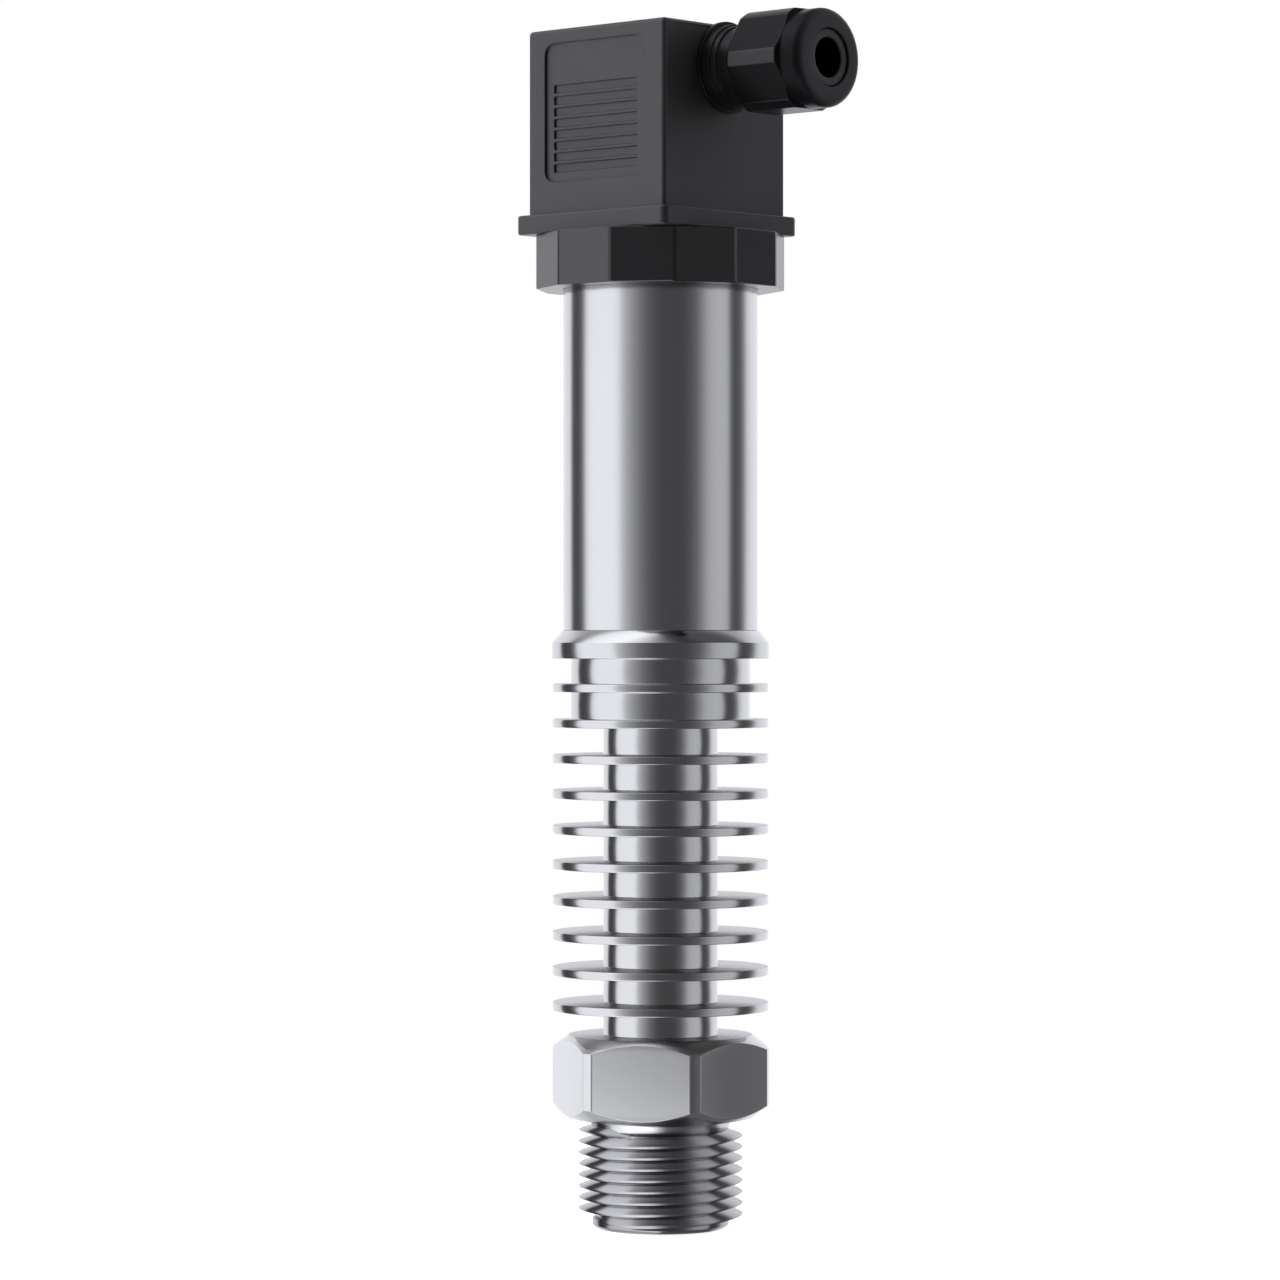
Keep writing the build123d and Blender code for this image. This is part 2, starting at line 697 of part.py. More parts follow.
def centre_screw():
    """Slotted screw through the whole plug, into the base's insert."""
    tip = plug_bottom - INSERT_LENGTH + SCREW_TIP_GAP
    head_top = screw_seat + SCREW_HEAD_HEIGHT
    shank = disc(SCREW_RADIUS, tip, screw_seat)
    head = disc(SCREW_HEAD_RADIUS, screw_seat, head_top)
    head = fillet(edges_at_top(head), SCREW_HEAD_EDGE)
    slot = block(2 * SCREW_HEAD_RADIUS, SCREW_SLOT_WIDTH, head_top - SCREW_SLOT_DEPTH, head_top)
    return shank + head - slot


def gland_grommet():
    """Rubber sleeve that grips the cable, with a nose that shows in the nut's opening."""
    nose_end = gland_front - GROMMET_NOSE_RECESS
    return turned_along_x([
        (grommet_back, CABLE_HOLE_RADIUS),
        (grommet_back, GROMMET_RADIUS),
        (grommet_face, GROMMET_RADIUS),
        (grommet_face, GROMMET_NOSE_RADIUS),
        (nose_end, GROMMET_NOSE_RADIUS),
        (nose_end, CABLE_HOLE_RADIUS),
    ])


def gland_washer():
    """Thrust washer between the grommet and the gland nut."""
    return turned_along_x([
        (grommet_face, nose_opening),
        (grommet_face, GLAND_WASHER_RADIUS),
        (washer_front, GLAND_WASHER_RADIUS),
        (washer_front, nose_opening),
    ])


def gland_nut():
    """Gland nut: hexagon with a rounded back, and a domed front round the nose's opening."""
    bore = GLAND_TUBE_RADIUS + GLAND_FIT
    prism = Plane.YZ.offset(gland_nut_back) * RegularPolygon(
        GLAND_NUT_WIDTH / 2, 6, major_radius=False
    )
    bar = turned_along_x([
        (gland_nut_back, 0),
        (gland_nut_back, GLAND_NUT_BAR_RADIUS),
        (gland_hex_end, GLAND_NUT_BAR_RADIUS),
        (gland_hex_end, 0),
    ])
    bar = fillet(outer_edges(bar, gland_nut_back), GLAND_NUT_BACK_ROUND)
    dome = turned_along_x([
        (gland_nut_back + GLAND_NUT_BACK_ROUND, 0),
        (gland_nut_back + GLAND_NUT_BACK_ROUND, bore),
        (gland_hex_end, GLAND_DOME_RADIUS),
        (gland_front, GLAND_DOME_RADIUS),
        (gland_front, 0),
    ])
    dome = fillet(outer_edges(dome, gland_front), GLAND_DOME_ROUND)
    inside = turned_along_x([
        (gland_nut_back, 0),
        (gland_nut_back, bore),
        (washer_front, bore),
        (washer_front, nose_opening),
        (gland_front, nose_opening),
        (gland_front, 0),
    ])
    return (extrude(prism, GLAND_HEX_LENGTH) & bar) + dome - inside


def outer_edges(shape, distance):
    """The round edges of a shape turned about X at a distance along it."""
    return shape.edges().filter_by(GeomType.CIRCLE).filter_by_position(
        Axis.X, distance - 0.001, distance + 0.001
    )


def write_parts():
    """Writes each piece to its own file."""
    pieces = {
        "pressure_body": pressure_body(),
        "housing_tube": housing_tube(),
        "sensor_cell": sensor_cell(),
        "cell_seal": cell_seal(),
        "cell_retainer": cell_retainer(),
        "header_pins": header_pins(),
        "board_carrier": board_carrier(),
        "circuit_board": circuit_board(),
        "board_components": board_components(),
        "sensor_leads": sensor_leads(),
        "output_leads": output_leads(),
        "coupling_nut": twelve_sided_nut(),
        "base_seal": base_seal(),
        "ring_nut": ring_nut(),
        "connector_base": at_connector(connector_base()),
        "contact_blades": at_connector(contact_blades()),
        "earth_blade": at_connector(earth_blade()),
        "screw_insert": at_connector(screw_insert()),
        "plug_housing": at_connector(plug_housing()),
        "flat_gasket": at_connector(gasket()),
        "terminal_block": at_connector(terminal_block()),
        "female_contacts": at_connector(female_contacts()),
        "terminal_screws": at_connector(terminal_screws()),
        "screw_seal": at_connector(screw_seal()),
        "centre_screw": at_connector(centre_screw()),
        "gland_grommet": at_gland(gland_grommet()),
        "gland_washer": at_gland(gland_washer()),
        "gland_nut": at_gland(gland_nut()),
    }
    os.makedirs("parts", exist_ok=True)
    for name, piece in pieces.items():
        export_step(piece, f"parts/{name}.step")


write_parts()
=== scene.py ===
import json
import math

import bmesh
import bpy
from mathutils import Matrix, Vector
from mathutils.geometry import tessellate_polygon


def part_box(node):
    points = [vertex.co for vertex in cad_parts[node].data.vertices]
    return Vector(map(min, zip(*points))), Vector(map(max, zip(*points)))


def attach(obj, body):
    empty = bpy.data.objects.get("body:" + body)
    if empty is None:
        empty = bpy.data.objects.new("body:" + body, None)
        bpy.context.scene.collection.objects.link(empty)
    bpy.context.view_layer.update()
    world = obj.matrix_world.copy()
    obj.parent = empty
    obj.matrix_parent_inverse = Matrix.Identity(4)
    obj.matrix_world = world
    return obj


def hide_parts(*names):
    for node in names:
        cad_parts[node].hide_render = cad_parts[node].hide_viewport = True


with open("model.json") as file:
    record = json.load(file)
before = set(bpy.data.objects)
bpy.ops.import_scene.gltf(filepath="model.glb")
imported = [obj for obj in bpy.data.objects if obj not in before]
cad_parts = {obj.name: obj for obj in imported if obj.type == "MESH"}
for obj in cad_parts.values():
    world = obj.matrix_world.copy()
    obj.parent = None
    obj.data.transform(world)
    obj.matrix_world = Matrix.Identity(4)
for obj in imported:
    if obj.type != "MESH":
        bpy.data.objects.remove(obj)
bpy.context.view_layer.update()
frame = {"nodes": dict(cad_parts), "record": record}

# Sizes are in millimetres and become metres where a mesh is made
MM = 0.001

# Meshes: points this close in metres become one, a rounded corner takes at most this share
# of a side, and close pairs of angles stand at these shares of their softness
MERGE_DISTANCE = 1e-7
LONGEST_ROUND = 0.45
PAIR_OFFSETS = (-1, -0.35, 0.35, 1)

# Camera: a long lens, level with the middle of the sensor; its distances are in metres
AZIMUTH = math.radians(41.8)
LENS = 135.0
SENSOR = 36.0
DISTANCE = 0.6676
EYE_HEIGHT = 0.0816
SIDE_SHIFT = -0.00285
CLIP_START = 0.05
CLIP_END = 20
BACK = Vector((math.sin(AZIMUTH), -math.cos(AZIMUTH), 0))
RIGHT = Vector((math.cos(AZIMUTH), math.sin(AZIMUTH), 0))

# Studio round the sensor: brightness by direction, in degrees to the camera's right.
# The first three are what metal and gloss reflect, level with it, above and below.
# The last is the light that matt surfaces gather.
LEVEL = [
    (-180, 1.05), (-140, 1.05), (-131, 0.35), (-122, 0.08), (-110, 0.12), (-100, 0.95),
    (-85, 1.3), (-60, 1.3), (-47, 0.8), (-30, 0.36), (-12, 0.14), (0, 0.09), (22, 0.085),
    (36, 0.13), (50, 0.33), (66, 0.64), (80, 0.68), (90, 0.36), (98, 0.10), (106, 0.12),
    (122, 0.7), (140, 1.05), (180, 1.05),
]
UPPER = [
    (-180, 0.25), (-150, 0.35), (-138, 0.5), (-128, 0.5), (-120, 0.8), (-112, 1.3),
    (-100, 1.5), (-75, 1.6), (-55, 1.3), (-30, 0.85), (0, 0.34), (25, 0.12), (50, 0.06),
    (80, 0.11), (108, 0.13), (122, 0.25), (132, 0.5), (142, 0.5), (155, 0.4), (180, 0.25),
]
LOWER = [
    (-180, 0.25), (-168, 0.45), (-150, 0.65), (-125, 0.7), (-100, 1.1), (-80, 1.6),
    (-40, 2.1), (-18, 1.75), (2, 0.6), (20, 0.16), (60, 0.12), (100, 0.14), (150, 0.16),
    (168, 0.18), (180, 0.25),
]
MATT = [
    (-180, 1.0), (-150, 3.0), (-125, 9.5), (-108, 9.5), (-90, 2.8), (-75, 0.5), (-50, 0.08),
    (0, 0.04), (40, 0.1), (65, 0.6), (85, 1.9), (105, 2.6), (130, 1.8), (150, 1.0), (180, 1.0),
]
MATT_BELOW = 0.3
MATT_FADE = (-0.35, 0.1)
STUDIO_COLOUR = (0.975, 0.985, 1.035, 1)
LEVEL_EDGE = 0.40
DOME_EDGE = 0.72

# Floor: a white plate just large enough for the shadow, in metres
FLOOR_RADIUS = 0.15
FLOOR_GLOW = 0.82
FLOOR_COLOUR = 0.8
FLOOR_BOUNCE = 0.25
FLOOR_SIDES = 96

# Turned body, from the tip of the thread up
PORT_RADIUS = 2.25
PILOT_RADIUS = 9.5
PILOT_CHAMFER = 0.5
THREAD_CREST = 11.5
THREAD_ROOT = 9.05
THREAD_VALLEY = THREAD_ROOT - 0.02
THREAD_FOOT = THREAD_ROOT - 0.4
THREAD_PITCH = 1.55
THREAD_ZERO = 1.74
THREAD_START_TURN = -0.33
THREAD_END_TURN = 7.79
THREAD_FADE_IN = 0.3
THREAD_FADE_OUT = 0.2
THREAD_SWELL = 1.6
THREAD_SOFTNESS = 2.6
THREAD_BOTTOM = 1.4
THREAD_TOP = 13.8
THREAD_STEPS = 144
THREAD_SECTION_STEPS = 16
THREAD_SHARP = 50
CORE_RADIUS = THREAD_ROOT - 0.04
CORE_TAPER = 0.4
RELIEF_RADIUS = 9.7
RELIEF_TAPER = 0.15
RELIEF_FILLET = 1.0
HEX_SIDES = 6
HEX_BOTTOM = 15.3
HEX_TOP = 26.8
HEX_WIDTH = 27.0
HEX_BAR_RADIUS = 15.2
HEX_FACE_RADIUS = 12.75
HEX_CHAMFER = 1.85
HEX_SOFTNESS = math.radians(0.15)
STEM_RADIUS = 7.95
FIN_COUNT = 10
FIN_RADIUS = 15.0
FIN_THICKNESS = 1.14
FIN_PITCH = 4.91
FIN_START = 3.99
NECK_RADIUS = 12.45
NECK_FINS = 2
NECK_END = 4.05
FLANGE_RADIUS = 15.1
FLANGE_THICKNESS = 2.19
SHOULDER_RADIUS = 13.7
SHOULDER_HEIGHT = 1.68
SPIGOT_RADIUS = 12.25
SPIGOT_HEIGHT = 4.0
POCKET_RADIUS = 9.55
POCKET_DEPTH = 13.8
EDGE = 0.14
CRISP_EDGE = 0.08
TURN_STEPS = 288

# Tube and the twelve-sided nut above it
TUBE_BORE = 12.3
TUBE_CHAMFER = 0.3
TUBE_STEPS = 256
NUT_SIDES = 12
NUT_WIDTH = 33.6
NUT_CORNER_CUT = 0.06
NUT_TURN = 17.9
NUT_SOCKET = 4.5
NUT_CLEARANCE = 0.05
NUT_HOLE = 10.7
NUT_EDGE = 0.18
NUT_STEPS = 144
NUT_SOFTNESS = math.radians(0.3)

# Connector base and plug, about the connector's own middle
CONNECTOR_SHIFT = -0.7
BASE_CORNER = 1.2
BASE_EDGE = 0.3
HUB_RADIUS = 10.6
CORNER_STEPS = 6
ROUND_STEPS = 96
HOUSING_HEIGHT = 25.6
HOUSING_CORNER = 0.7
HOUSING_TOP_EDGE = 0.6
HOUSING_TOP_STEPS = 5
HOUSING_TOP_CORNER_SHARE = 0.9
HOUSING_WALL = 1.5
HOUSING_FOOT_EDGE = 0.12
HOUSING_FOOT_STEPS = 2
PANEL_WIDTH = 18.3
PANEL_HEIGHT = 19.2
PANEL_CORNER = 1.6
PANEL_DEPTH = 0.35
PANEL_SIDE_SHIFT = -0.3
PANEL_BOTTOM = 4.4
PANEL_LIP = 0.12
PANEL_LIP_STEPS = 4
PANEL_STEPS = 5
GRIP_COUNT = 8
GRIP_PITCH = 1.56
GRIP_WIDTH = 1.16
GRIP_LENGTH = 15.4
GRIP_MARGIN = 1.35
GRIP_DEPTH = 0.3
GRIP_EDGE = 0.06
GRIP_CORNER = 0.12
GRIP_STEPS = 3
SOCKET_DEPTH = 14.2
SOCKET_CORNER = 0.4
SOCKET_MOUTH = 0.1
WELL_RADIUS = 3.1
WELL_DEPTH = 3.9
WELL_STEPS = 64
WELL_EDGE_MIDDLE = 0.3

# Gland, as distances from the connector's middle
GLAND_HEIGHT = 19.7
COLLAR_RADIUS = 6.3
COLLAR_END = 13.4
BOSS_RADIUS = 5.8
BOSS_END = 14.7
STEP_RADIUS = 5.55
STEP_END = 15.6
GLAND_TUBE_RADIUS = 5.3
GLAND_TUBE_END = 27.0
GLAND_TUBE_ROUND = 0.4
GROMMET_BACK = 20.8
GROMMET_FACE = 28.0
GROMMET_RADIUS = 4.4
GROMMET_NOSE_RADIUS = 3.92
GROMMET_NOSE_END = 31.0
GROMMET_NOSE_ROUND = 0.25
CABLE_HOLE_RADIUS = 2.7
CABLE_HOLE_ROUND = 0.3
HUB_BORE = 3.6
GLAND_NUT_BACK = 18.6
GLAND_NUT_WIDTH = 13.5
GLAND_NUT_BAR_RADIUS = 7.35
GLAND_NUT_BACK_ROUND = 1.6
GLAND_NUT_TURN = math.pi / 2
GLAND_HEX_END = 28.0
GLAND_HEX_CHAMFER = 0.4
GLAND_HEX_SINK = 0.05
GLAND_HEX_ROUND = 0.25
GLAND_STEP = 0.35
GLAND_STEP_SINK = 0.03
GLAND_STEP_ROUND = 0.2
GLAND_FRONT = 31.3
GLAND_DOME_RADIUS = 6.75
GLAND_DOME_ROUND = 2.2
GLAND_BORE = 5.38
GLAND_FINE_ROUND = 0.12
WASHER_FRONT = 28.8
NOSE_OPENING = 4.0
GLAND_STEPS = 168
GLAND_SOFTNESS = math.radians(0.8)

# Grain of the finishes in marks per metre, and its height in metres
ALONG_TURNING = 60
TURNED_GRAIN = 6000
STEEL_CLOUD = 90
SCRATCHES = (160, 160, 9000)
DRAWN_GRAIN = (300, 300, 5000)
PLASTIC_CLOUD = 140
STEEL_RELIEF = 0.00002
PLASTIC_RELIEF = 0.00003

# How far the grain varies the roughness, as a share of it to each side
STEEL_VARIATION = 0.25
DRAWN_VARIATION = 0.2
PLASTIC_VARIATION = 0.15

# Turned body's finish; shares are of the whole body's brightness
BODY_BRIGHTNESS = 0.60
BODY_SHARES = (0.97, 1.02)
BODY_ROUGHNESS = 0.125
BODY_BUMP = 0.06
END_FACE_SHARE = 0.86
END_FACE_ROUGHNESS = 0.30
END_FACE_TILT = (0.8, 0.95)
PILOT_SHARE = 0.6
PILOT_REACH = (0.2, THREAD_BOTTOM + 0.3)
GROUND_BRIGHTNESS = (0.74, 0.80)
GROUND_ROUGHNESS = 0.35
GROUND_GRAIN_TURN = 0.25
BAR_FADE = (-0.05, -0.11)
SIDE_TILT = (0.2, 0.1)
# Painted shade on the thread: a darker colour at the root, paler at the crest
THREAD_PAINTED_SHADE_COLOURS = ((0.33, 0.33, 0.335), (0.42, 0.42, 0.43))
THREAD_ROUGHNESS = (0.13, 0.2)

# Steel by slot: brightness, roughness, turning grain and its strength
STEELS = {
    "tube_steel": (0.62, 0.17, 9000, 0.03),
    "cell_steel": (0.6, 0.25, 6000, 0.05),
    "screw_steel": (0.55, 0.28, 7000, 0.06),
    "tinned_contact": (0.66, 0.3, 3000, 0.05),
}
STEEL_DARK = (0.96, 0.96, 0.97)
STEEL_LIGHT = (1.02, 1.02, 1.03)

# Coloured metal by slot: colour and roughness
METAL_DARK_SHARE = 0.93
METAL_BUMP = 0.05
COLOURED_METALS = {
    "gold_pins": ((0.83, 0.62, 0.28), 0.22),
    "brass": ((0.72, 0.52, 0.24), 0.26),
}

# Gland nut's gloss from the flats to the edges between them, and painted light that makes its
# front paler than its side
GLAND_GLOSS = (0.06, 0.4)
GLAND_EDGE_FADE = (-0.1, -0.03)
GLAND_SIDE_COLOUR = (0.010, 0.010, 0.011)
GLAND_FRONT_PAINTED_LIGHT_COLOUR = (0.052, 0.052, 0.054)
GLAND_FRONT_PAINTED_LIGHT_FADE = 0.8
# Painted shade: the hub past the cube's side is painted darker and duller
HUB_PAINTED_SHADE_COLOUR = (0.012, 0.012, 0.013)
HUB_GLOSS = 0.2
HUB_PAINTED_SHADE_FADE = (0.02, 0.3)
# Painted shade: the cable hole inside the rubber sleeve is painted near black and dull
BORE_PAINTED_SHADE_COLOUR = (0.002, 0.002, 0.002)
BORE_GLOSS = 0.05
GROMMET_GLOSS = 0.4
BORE_PAINTED_SHADE_FADE = (0.01, 0.05)

# Plastic and rubber by slot: colour, roughness, grain, its strength and the gloss
PLASTIC_SHARES = (0.88, 1.12)
PLASTICS = {
    "housing_plastic": ((0.043, 0.043, 0.045), 0.34, 9000, 0.06, 0.5),
    "connector_plastic": ((0.043, 0.043, 0.045), 0.34, 9000, 0.06, 0.5),
    "nut_plastic": ((0.017, 0.017, 0.018), 0.24, 7000, 0.03, 0.75),
    "gland_plastic": (GLAND_SIDE_COLOUR, 0.25, 7000, 0.04, GLAND_GLOSS[0]),
    "terminal_plastic": ((0.04, 0.04, 0.043), 0.5, 5000, 0.1, 0.5),
    "carrier_plastic": ((0.5, 0.5, 0.47), 0.5, 5000, 0.1, 0.5),
    "component_black": ((0.02, 0.02, 0.02), 0.45, 5000, 0.1, 0.5),
    "board_green": ((0.02, 0.12, 0.05), 0.3, 3000, 0.05, 0.5),
    "wire_insulation": ((0.4, 0.03, 0.03), 0.4, 3000, 0.05, 0.5),
    "seal_rubber": ((0.02, 0.02, 0.02), 0.6, 6000, 0.12, 0.5),
    "grommet_rubber": ((0.04, 0.04, 0.041), 0.5, 6000, 0.1, GROMMET_GLOSS),
}


def box_mm(name):
    """A CAD node's lowest and highest corners in millimetres."""
    low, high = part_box(name)
    return low / MM, high / MM


HOUSING_LOW, HOUSING_HIGH = box_mm("plug_housing")
GLAND_AXIS = HOUSING_LOW.z + GLAND_HEIGHT


class Shell:
    """A mesh in the making: loops of points joined by strips and plates."""

    def __init__(self):
        self.points = []
        self.faces = []

    def loop(self, points):
        """Adds points, and gives their numbers."""
        start = len(self.points)
        self.points.extend(Vector(point) for point in points)
        return list(range(start, len(self.points)))

    def strip(self, first, second):
        """Joins two loops of equal length by a closed band of faces."""
        count = len(first)
        for index in range(count):
            after = (index + 1) % count
            self.faces.append((first[index], first[after], second[after], second[index]))

    def strips(self, loops):
        """Joins each loop to the next."""
        for first, second in zip(loops, loops[1:]):
            self.strip(first, second)

    def plate(self, *loops):
        """Fills a flat outline, less the holes that follow it."""
        indices = [index for loop in loops for index in loop]
        outlines = [[self.points[index] for index in loop] for loop in loops]
        for triangle in tessellate_polygon(outlines):
            self.faces.append(tuple(indices[corner] for corner in triangle))

    def build(self, name, body, slot, materials, replaces, finish_with_painted_light=None, sharp=30, even=True):
        """Makes the object, in metres, and fastens it to its body.

        The finish is the slot's unless another is named; even keeps flat faces flat in their
        shading.
        """
        mesh = bpy.data.meshes.new(name)
        mesh.from_pydata([point * MM for point in self.points], [], self.faces)
        work = bmesh.new()
        work.from_mesh(mesh)
        bmesh.ops.remove_doubles(work, verts=work.verts, dist=MERGE_DISTANCE)
        bmesh.ops.recalc_face_normals(work, faces=work.faces)
        work.to_mesh(mesh)
        work.free()
        mesh.shade_smooth()
        mesh.set_sharp_from_angle(angle=math.radians(sharp))
        piece = bpy.data.objects.new(name, mesh)
        bpy.context.scene.collection.objects.link(piece)
        piece.data.materials.append(materials[finish_with_painted_light or slot])
        if even:
            piece.modifiers.new("even", "WEIGHTED_NORMAL").keep_sharp = True
        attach(piece, body)
        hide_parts(*replaces)


def rounded(points, steps=3, closed=True):
    """Outline points of (x, y, corner radius), with each corner turned into a short arc."""
    made = []
    last = len(points) - 1
    for index, (x, y, radius) in enumerate(points):
        if radius == 0 or (not closed and index in (0, last)):
            made.append((x, y))
            continue
        corner = Vector((x, y))
        back = Vector(points[index - 1][:2]) - corner
        on = Vector(points[(index + 1) % len(points)][:2]) - corner
        half = back.angle(on) / 2
        reach = min(radius / math.tan(half), LONGEST_ROUND * min(back.length, on.length))
        inwards = (back.normalized() + on.normalized()).normalized()
        middle = corner + inwards * (reach / math.cos(half))
        first = corner + back.normalized() * reach - middle
        final = corner + on.normalized() * reach - middle
        sweep = first.angle(final)
        for step in range(steps + 1):
            share = step / steps
            arm = first * math.sin((1 - share) * sweep) + final * math.sin(share * sweep)
            made.append(tuple(middle + arm / math.sin(sweep)))
    return made


def upright(radius, height, angle):
    """A point round the sensor's axis."""
    return (radius * math.cos(angle), radius * math.sin(angle), height)


def at_gland(radius, distance, angle):
    """A point round the gland's axis."""
    return (
        CONNECTOR_SHIFT + distance,
        radius * math.cos(angle),
        GLAND_AXIS + radius * math.sin(angle),
    )


def even_angles(steps):
    """Angles that share out a full turn."""
    return [2 * math.pi * index / steps for index in range(steps)]


def turned(shell, profile_at, angles, place, closed=True):
    """Turns a profile round an axis.

    profile_at(angle) gives the profile's points of radius and distance.
    """
    columns = [profile_at(angle) for angle in angles]
    loops = []
    for row in range(len(columns[0])):
        ring = [place(*column[row], angle) for column, angle in zip(columns, angles)]
        loops.append(shell.loop(ring))
    shell.strips(loops)
    if closed:
        shell.strip(loops[-1], loops[0])
    return loops


def polygon_radius(width, sides, turn, bar_radius, angle):
    """Distance from the axis to a polygon's side, cut to a round bar."""
    sector = 2 * math.pi / sides
    off_side = (angle - turn + sector / 2) % sector - sector / 2
    return min(width / 2 / math.cos(off_side), bar_radius)


def polygon_angles(width, sides, turn, bar_radius, steps, softness):
    """Even angles, with close pairs where a polygon's sides meet its corners."""
    sector = 2 * math.pi / sides
    reach = math.acos(min(1, width / 2 / bar_radius))
    edges = []
    for side in range(sides):
        middle = turn + side * sector
        if reach < sector / 2 - softness:
            edges += [middle - reach, middle + reach]
        else:
            edges.append(middle + sector / 2)
    edges = [edge % (2 * math.pi) for edge in edges]
    step = 2 * math.pi / steps
    gap = max(2 * softness, step / 2)
    angles = [
        angle for angle in even_angles(steps)
        if all(abs((angle - edge + math.pi) % (2 * math.pi) - math.pi) > gap for edge in edges)
    ]
    for edge in edges:
        angles += [(edge + offset * softness) % (2 * math.pi) for offset in PAIR_OFFSETS]
    return sorted(angles)


def new_tree(owner):
    """An empty node tree on a material or the world."""
    owner.use_nodes = True
    owner.node_tree.nodes.clear()
    return owner.node_tree


def feed(tree, socket, value):
    """Links an input to another node's output, or sets it to a plain value."""
    if isinstance(value, bpy.types.NodeSocket):
        tree.links.new(value, socket)
    else:
        socket.default_value = value


def node(tree, kind, *inputs, **values):
    """A node: its first inputs in order, and other inputs and properties by name."""
    made = tree.nodes.new(kind)
    for name, value in values.items():
        label = name.replace("_", " ")
        if label in made.inputs:
            feed(tree, made.inputs[label], value)
        else:
            setattr(made, name, value)
    for socket, value in zip(made.inputs, inputs):
        feed(tree, socket, value)
    return made


def calculated(tree, operation, *inputs):
    """The result of a Math node."""
    return node(tree, "ShaderNodeMath", *inputs, operation=operation).outputs["Value"]


def vector(tree, operation, *inputs, **values):
    """The vector that a Vector Math node gives."""
    made = node(tree, "ShaderNodeVectorMath", *inputs, operation=operation, **values)
    return made.outputs["Vector"]


def measured(tree, operation, *inputs):
    """The number that a Vector Math node gives."""
    return node(tree, "ShaderNodeVectorMath", *inputs, operation=operation).outputs["Value"]


def components(tree, value):
    """A vector's outputs X, Y and Z."""
    return node(tree, "ShaderNodeSeparateXYZ", value).outputs


def ramp(tree, value, start, end, low=0.0, high=1.0, **values):
    """Maps a value from start..end to low..high, and holds it at both ends."""
    made = node(tree, "ShaderNodeMapRange", Value=value, From_Min=start, From_Max=end,
                To_Min=low, To_Max=high, **values)
    return made.outputs["Result"]


def ramp_mm(tree, value, start, end):
    """A mask that rises from 0 to 1 between two distances in millimetres."""
    return ramp(tree, value, start * MM, end * MM)


def spread(tree, value, low, high):
    """Maps a value from 0..1 to a range."""
    return ramp(tree, value, 0.0, 1.0, low, high)


def within(tree, value, low, high, soft=0.05):
    """A mask of 1 between two distances in millimetres, with soft ends."""
    rise = ramp_mm(tree, value, low - soft, low + soft)
    fall = ramp_mm(tree, value, high + soft, high - soft)
    return calculated(tree, "MULTIPLY", rise, fall)


def blend(tree, factor, first, second):
    """Passes from one number to another."""
    return node(tree, "ShaderNodeMix", Factor=factor, A=first, B=second).outputs["Result"]


def blend_colour(tree, factor, first, second):
    """Passes from one colour to another; both are colours or outputs."""
    mix = node(tree, "ShaderNodeMix", data_type="RGBA", Factor=factor)
    colours = [socket for socket in mix.inputs if socket.type == "RGBA"]
    for socket, value in zip(colours, (first, second)):
        feed(tree, socket, (*value, 1) if isinstance(value, tuple) else value)
    return next(socket for socket in mix.outputs if socket.type == "RGBA")


def mix_shader(tree, factor, first, second):
    """Passes from one shader to another."""
    return node(tree, "ShaderNodeMixShader", factor, first, second).outputs["Shader"]


def make_camera():
    """A level camera that looks at the sensor from between its panel and its gland."""
    data = bpy.data.cameras.new("camera")
    data.lens = LENS
    data.sensor_width = SENSOR
    data.clip_start = CLIP_START
    data.clip_end = CLIP_END
    camera = bpy.data.objects.new("camera", data)
    camera.location = BACK * DISTANCE + RIGHT * SIDE_SHIFT + Vector((0, 0, EYE_HEIGHT))
    camera.rotation_euler = (-BACK).to_track_quat("-Z", "Y").to_euler()
    bpy.context.scene.collection.objects.link(camera)
    bpy.context.scene.camera = camera


def brightness_ring(tree, turn, ring):
    """Brightness round the horizon, read from (degrees, brightness) pairs."""
    highest = max(value for _, value in ring)
    made = node(tree, "ShaderNodeFloatCurve", Value=turn)
    curve = made.mapping.curves[0]
    while len(curve.points) < len(ring):
        curve.points.new(0.5, 0.5)
    for point, (degrees, value) in zip(curve.points, ring):
        point.location = ((degrees + 180) / 360, value / highest)
        point.handle_type = "AUTO_CLAMPED"
    made.mapping.update()
    return calculated(tree, "MULTIPLY", made.outputs["Value"], highest)


def make_world():
    """White to the eye, and for the sensor a ring of soft boxes and dark cards."""
    world = bpy.data.worlds.new("studio")
    bpy.context.scene.world = world
    tree = new_tree(world)
    direction = node(tree, "ShaderNodeTexCoord").outputs["Generated"]
    sideways = measured(tree, "DOT_PRODUCT", direction, RIGHT)
    backwards = measured(tree, "DOT_PRODUCT", direction, BACK)
    turn = ramp(tree, calculated(tree, "ARCTAN2", sideways, backwards), -math.pi, math.pi)
    level, upper, lower, matt = (
        brightness_ring(tree, turn, ring) for ring in (LEVEL, UPPER, LOWER, MATT)
    )
    height = components(tree, direction)["Z"]
    smooth = {"interpolation_type": "SMOOTHSTEP"}
    above = blend(tree, ramp(tree, height, LEVEL_EDGE, DOME_EDGE, **smooth), level, upper)
    whole = blend(tree, ramp(tree, height, -LEVEL_EDGE, -DOME_EDGE, **smooth), above, lower)
    soft = calculated(tree, "MULTIPLY", matt, ramp(tree, height, *MATT_FADE, MATT_BELOW))
    rays = node(tree, "ShaderNodeLightPath").outputs
    strength = blend(tree, rays["Is Diffuse Ray"], whole, soft)
    studio = node(tree, "ShaderNodeBackground", Color=STUDIO_COLOUR, Strength=strength)
    white = node(tree, "ShaderNodeBackground", Color=(1, 1, 1, 1), Strength=1.0)
    seen = mix_shader(
        tree, rays["Is Camera Ray"], studio.outputs["Background"], white.outputs["Background"]
    )
    node(tree, "ShaderNodeOutputWorld", Surface=seen)


